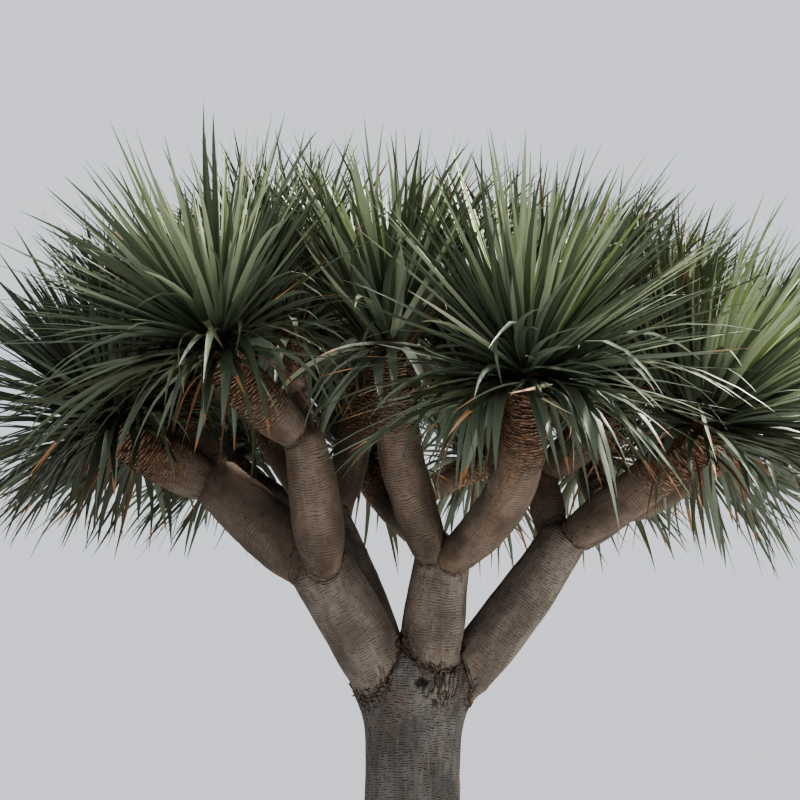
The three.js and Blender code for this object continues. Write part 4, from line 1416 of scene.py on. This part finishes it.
# %% [markdown]
# Colours of the leaves.
# The youngest leaves in the heart of a rosette are fresh green, their yellow tint partly their own and partly
# painted light shining through them. The grown ones are dark with a waxy grey-green gloss, and the oldest
# are dull olive. Many young and middle-aged leaves that catch the light look much paler: this light is
# painted into them as a paler kind of leaf, dealt out more often on one rosette at the front that the others
# shade. The rosettes on the far left are in the shade of the others, and this shade is painted in: they have
# more dark leaves and no pale ones. Each leaf gets one of six plain colours, by its age, its width, its
# rosette and chance. A colour that changed along each leaf would need a picture or an attribute, and would
# hardly show on leaves this narrow. The leaves of one kind and side are joined into one piece.

# %% Leaf materials
GLOSS_GRAIN = 0.07


def leaf_material(name, base, roughness, coat):
    """A waxy leaf: one plain colour, with fine grain in its gloss and surface."""
    material = bpy.data.materials.new(name)
    material.use_nodes = True
    tree = material.node_tree
    surface = tree.nodes["Principled BSDF"]
    where = add_node(tree, "ShaderNodeTexCoord").outputs["Object"]
    grain = noise_on(tree, where, 120, (1, 1, 1), 3.0)
    gloss = mapped(tree, grain, 0.3, 0.7, roughness - GLOSS_GRAIN, roughness + GLOSS_GRAIN)
    bump = add_node(tree, "ShaderNodeBump", {"Height": grain, "Strength": 0.15, "Distance": 0.001})
    tree.links.new(gloss, surface.inputs["Roughness"])
    tree.links.new(bump.outputs["Normal"], surface.inputs["Normal"])
    surface.inputs["Base Color"].default_value = base
    surface.inputs["Coat Weight"].default_value = coat
    surface.inputs["Specular IOR Level"].default_value = 0.3
    surface.inputs["Coat Roughness"].default_value = 0.5
    return material


# The young leaves' yellow-green is partly their own colour and partly painted light shining through them.
KINDS = {
    "young": leaf_material("leaf_young", colour(118, 131, 87), 0.5, 0.05),
    "bright": leaf_material("leaf_lit_pale", colour(143, 152, 126), 0.46, 0.12),
    "grown": leaf_material("leaf_grown", colour(75, 84, 66), 0.44, 0.1),
    "waxy": leaf_material("leaf_waxy", colour(100, 109, 94), 0.42, 0.12),
    "old": leaf_material("leaf_old", colour(64, 67, 47), 0.6, 0.0),
    "shaded": leaf_material("leaf_shaded", colour(56, 62, 49), 0.5, 0.05),
}
print("kinds of leaves:", ", ".join(KINDS))

# %% The kind of each leaf
BROAD = 1.38
GROWN_UP_TO = 0.6
PAINTED_LIT_ROSETTE = "limb_front_left"
SHADE_FROM = -0.7

chance = random.random(len(leaves.age))
kind = np.where(chance < GROWN_UP_TO, "grown", "waxy").astype("U8")
# The pale kind is painted light: a paler colour for young and middle-aged leaves that would catch the light.
kind[(leaves.age < 0.5) & (chance > 0.66)] = "bright"
kind[(leaves.age < 0.3) & (chance > 0.55)] = "bright"
kind[(leaves.age < 0.2) & (chance < 0.32)] = "young"
kind[(leaves.age > 0.7) & (chance > 0.55)] = "old"
kind[leaves.wide > BROAD * LEAF_WIDTH] = "waxy"
# Painted light: the rosette of limb_front_left lies in the shade of its neighbours, so more of its leaves get
# the pale colour.
painted_lit_leaves = leaves.rosette == CARRIERS.index(PAINTED_LIT_ROSETTE)
kind[painted_lit_leaves & (leaves.age < 0.55) & (chance > 0.4)] = "bright"
# Painted shade: the rosettes on the far left get no pale leaves, and many get the darkest colour.
far_left = hubs[leaves.rosette, 0] < SHADE_FROM
kind[far_left & (kind == "bright")] = "grown"
kind[far_left & (chance < 0.5)] = "shaded"
print("leaves of each kind:", {label: int(np.count_nonzero(kind == label)) for label in KINDS})

# %% Which leaves have brown tips, and where the brown starts
TIPS_FROM_AGE = 0.55
TIP_SHARE = (0.05, 0.75)
BROWN_FROM = (0.94, 0.24)
BROAD_BROWN_FROM = 0.925
BROAD_ENOUGH = 1.3
BROWN_PARTS = ((0.7, 0.78), (0.78, 0.86), (0.86, 0.91), (0.91, 0.94))

past_age = leaves.age - TIPS_FROM_AGE
tipped = (past_age > 0) & (random.random(len(leaves.age)) < TIP_SHARE[0] + TIP_SHARE[1] * past_age)
brown_from = BROWN_FROM[0] - BROWN_FROM[1] * random.random(len(leaves.age)) ** 2.5
brown_from[leaves.wide > BROAD_ENOUGH * LEAF_WIDTH] = BROAD_BROWN_FROM
print("leaves with brown tips:", np.count_nonzero(tipped))

# %% The leaves as pieces
rosette_nodes = [name.replace("limb", "rosette") for name in CARRIERS]
on_left = hubs[leaves.rosette, 0] < 0
for label, side in itertools.product(KINDS, ("left", "right")):
    alike = (kind == label) & (on_left == (side == "left"))
    if not alike.any():
        continue
    whole = alike & ~tipped
    places = [blades(chosen(leaves, whole), lines[whole], directions[whole])]
    for low, high in BROWN_PARTS:
        cut = alike & tipped & (brown_from >= low) & (brown_from < high)
        last = (low + high) / 2
        places.append(blades(chosen(leaves, cut), lines[cut], directions[cut], 0, last))
    piece = joined_copies(f"leaves_{label}_{side}", blade, np.concatenate(places), KINDS[label])
    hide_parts(*rosette_nodes)

# %% [markdown]
# Brown tips and dry leaves.
# The tips of older leaves scorch orange-brown, and a few whole leaves have dried and hang from under each
# rosette, narrow and rust-red. They are the same blades. A tip is the last stretch of its leaf, a hair
# thicker, so that it lies over the cut end of the green part.

# %% Brown tips
TIP_OVERLAP = 0.05
TIP_GROWN = 1.06

scorched = leaf_material("leaf_scorched", colour(140, 104, 74), 0.7, 0.0)
tip_places = []
for low, high in BROWN_PARTS:
    cut = tipped & (brown_from >= low) & (brown_from < high)
    first = (low + high) / 2 - TIP_OVERLAP
    tip_places.append(blades(chosen(leaves, cut), lines[cut], directions[cut], first, 1.0, TIP_GROWN))
piece = joined_copies("leaf_tips_brown", blade, np.concatenate(tip_places), scorched)

# %% Dry leaves
DRY_LEAVES = 8
DRY_WIDTH = 0.45
DRY_LENGTH = (0.3, 0.65)
DRY_FALL = (0.1, 0.9)
DRY_BEND = (1.0, 4.0)


def dry_leaves_of(number, name, random):
    """Dead leaves that hang from the stem just below a rosette."""
    base, along, axis = rosette_at(name)
    turn = random.uniform(0, 2 * math.pi, DRY_LEAVES)
    east = unit(np.cross(along, FIRST_LEAF))
    north = np.cross(along, east)
    outward = np.cos(turn)[:, None] * east + np.sin(turn)[:, None] * north
    fallen = random.uniform(*DRY_FALL, DRY_LEAVES)
    start = unit(outward - UP * fallen[:, None])
    root = base + along * random.uniform(-0.03, 0.04, DRY_LEAVES)[:, None]
    root = root + outward * LIMBS[name].radius[2] * 0.9
    length = LEAF_LENGTH * random.uniform(*DRY_LENGTH, DRY_LEAVES)
    bend = random.uniform(*DRY_BEND, DRY_LEAVES)
    sway = random.normal(0, 0.3, DRY_LEAVES)
    twist = random.normal(0, 1.4, DRY_LEAVES)
    wide = np.full(DRY_LEAVES, LEAF_WIDTH * DRY_WIDTH)
    age, side = np.ones(DRY_LEAVES), np.cross(axis, outward)
    return Leaves(np.full(DRY_LEAVES, number), age, root, start, side, length, wide, bend, sway, twist)


all_dry = joined([dry_leaves_of(number, name, random) for number, name in enumerate(CARRIERS)])
dry, dry_lines, dry_directions = set_leaves(all_dry)
rust_leaf = leaf_material("leaf_dry", colour(104, 72, 52), 0.8, 0.0)
piece = joined_copies("leaves_dry", blade, blades(dry, dry_lines, dry_directions), rust_leaf)
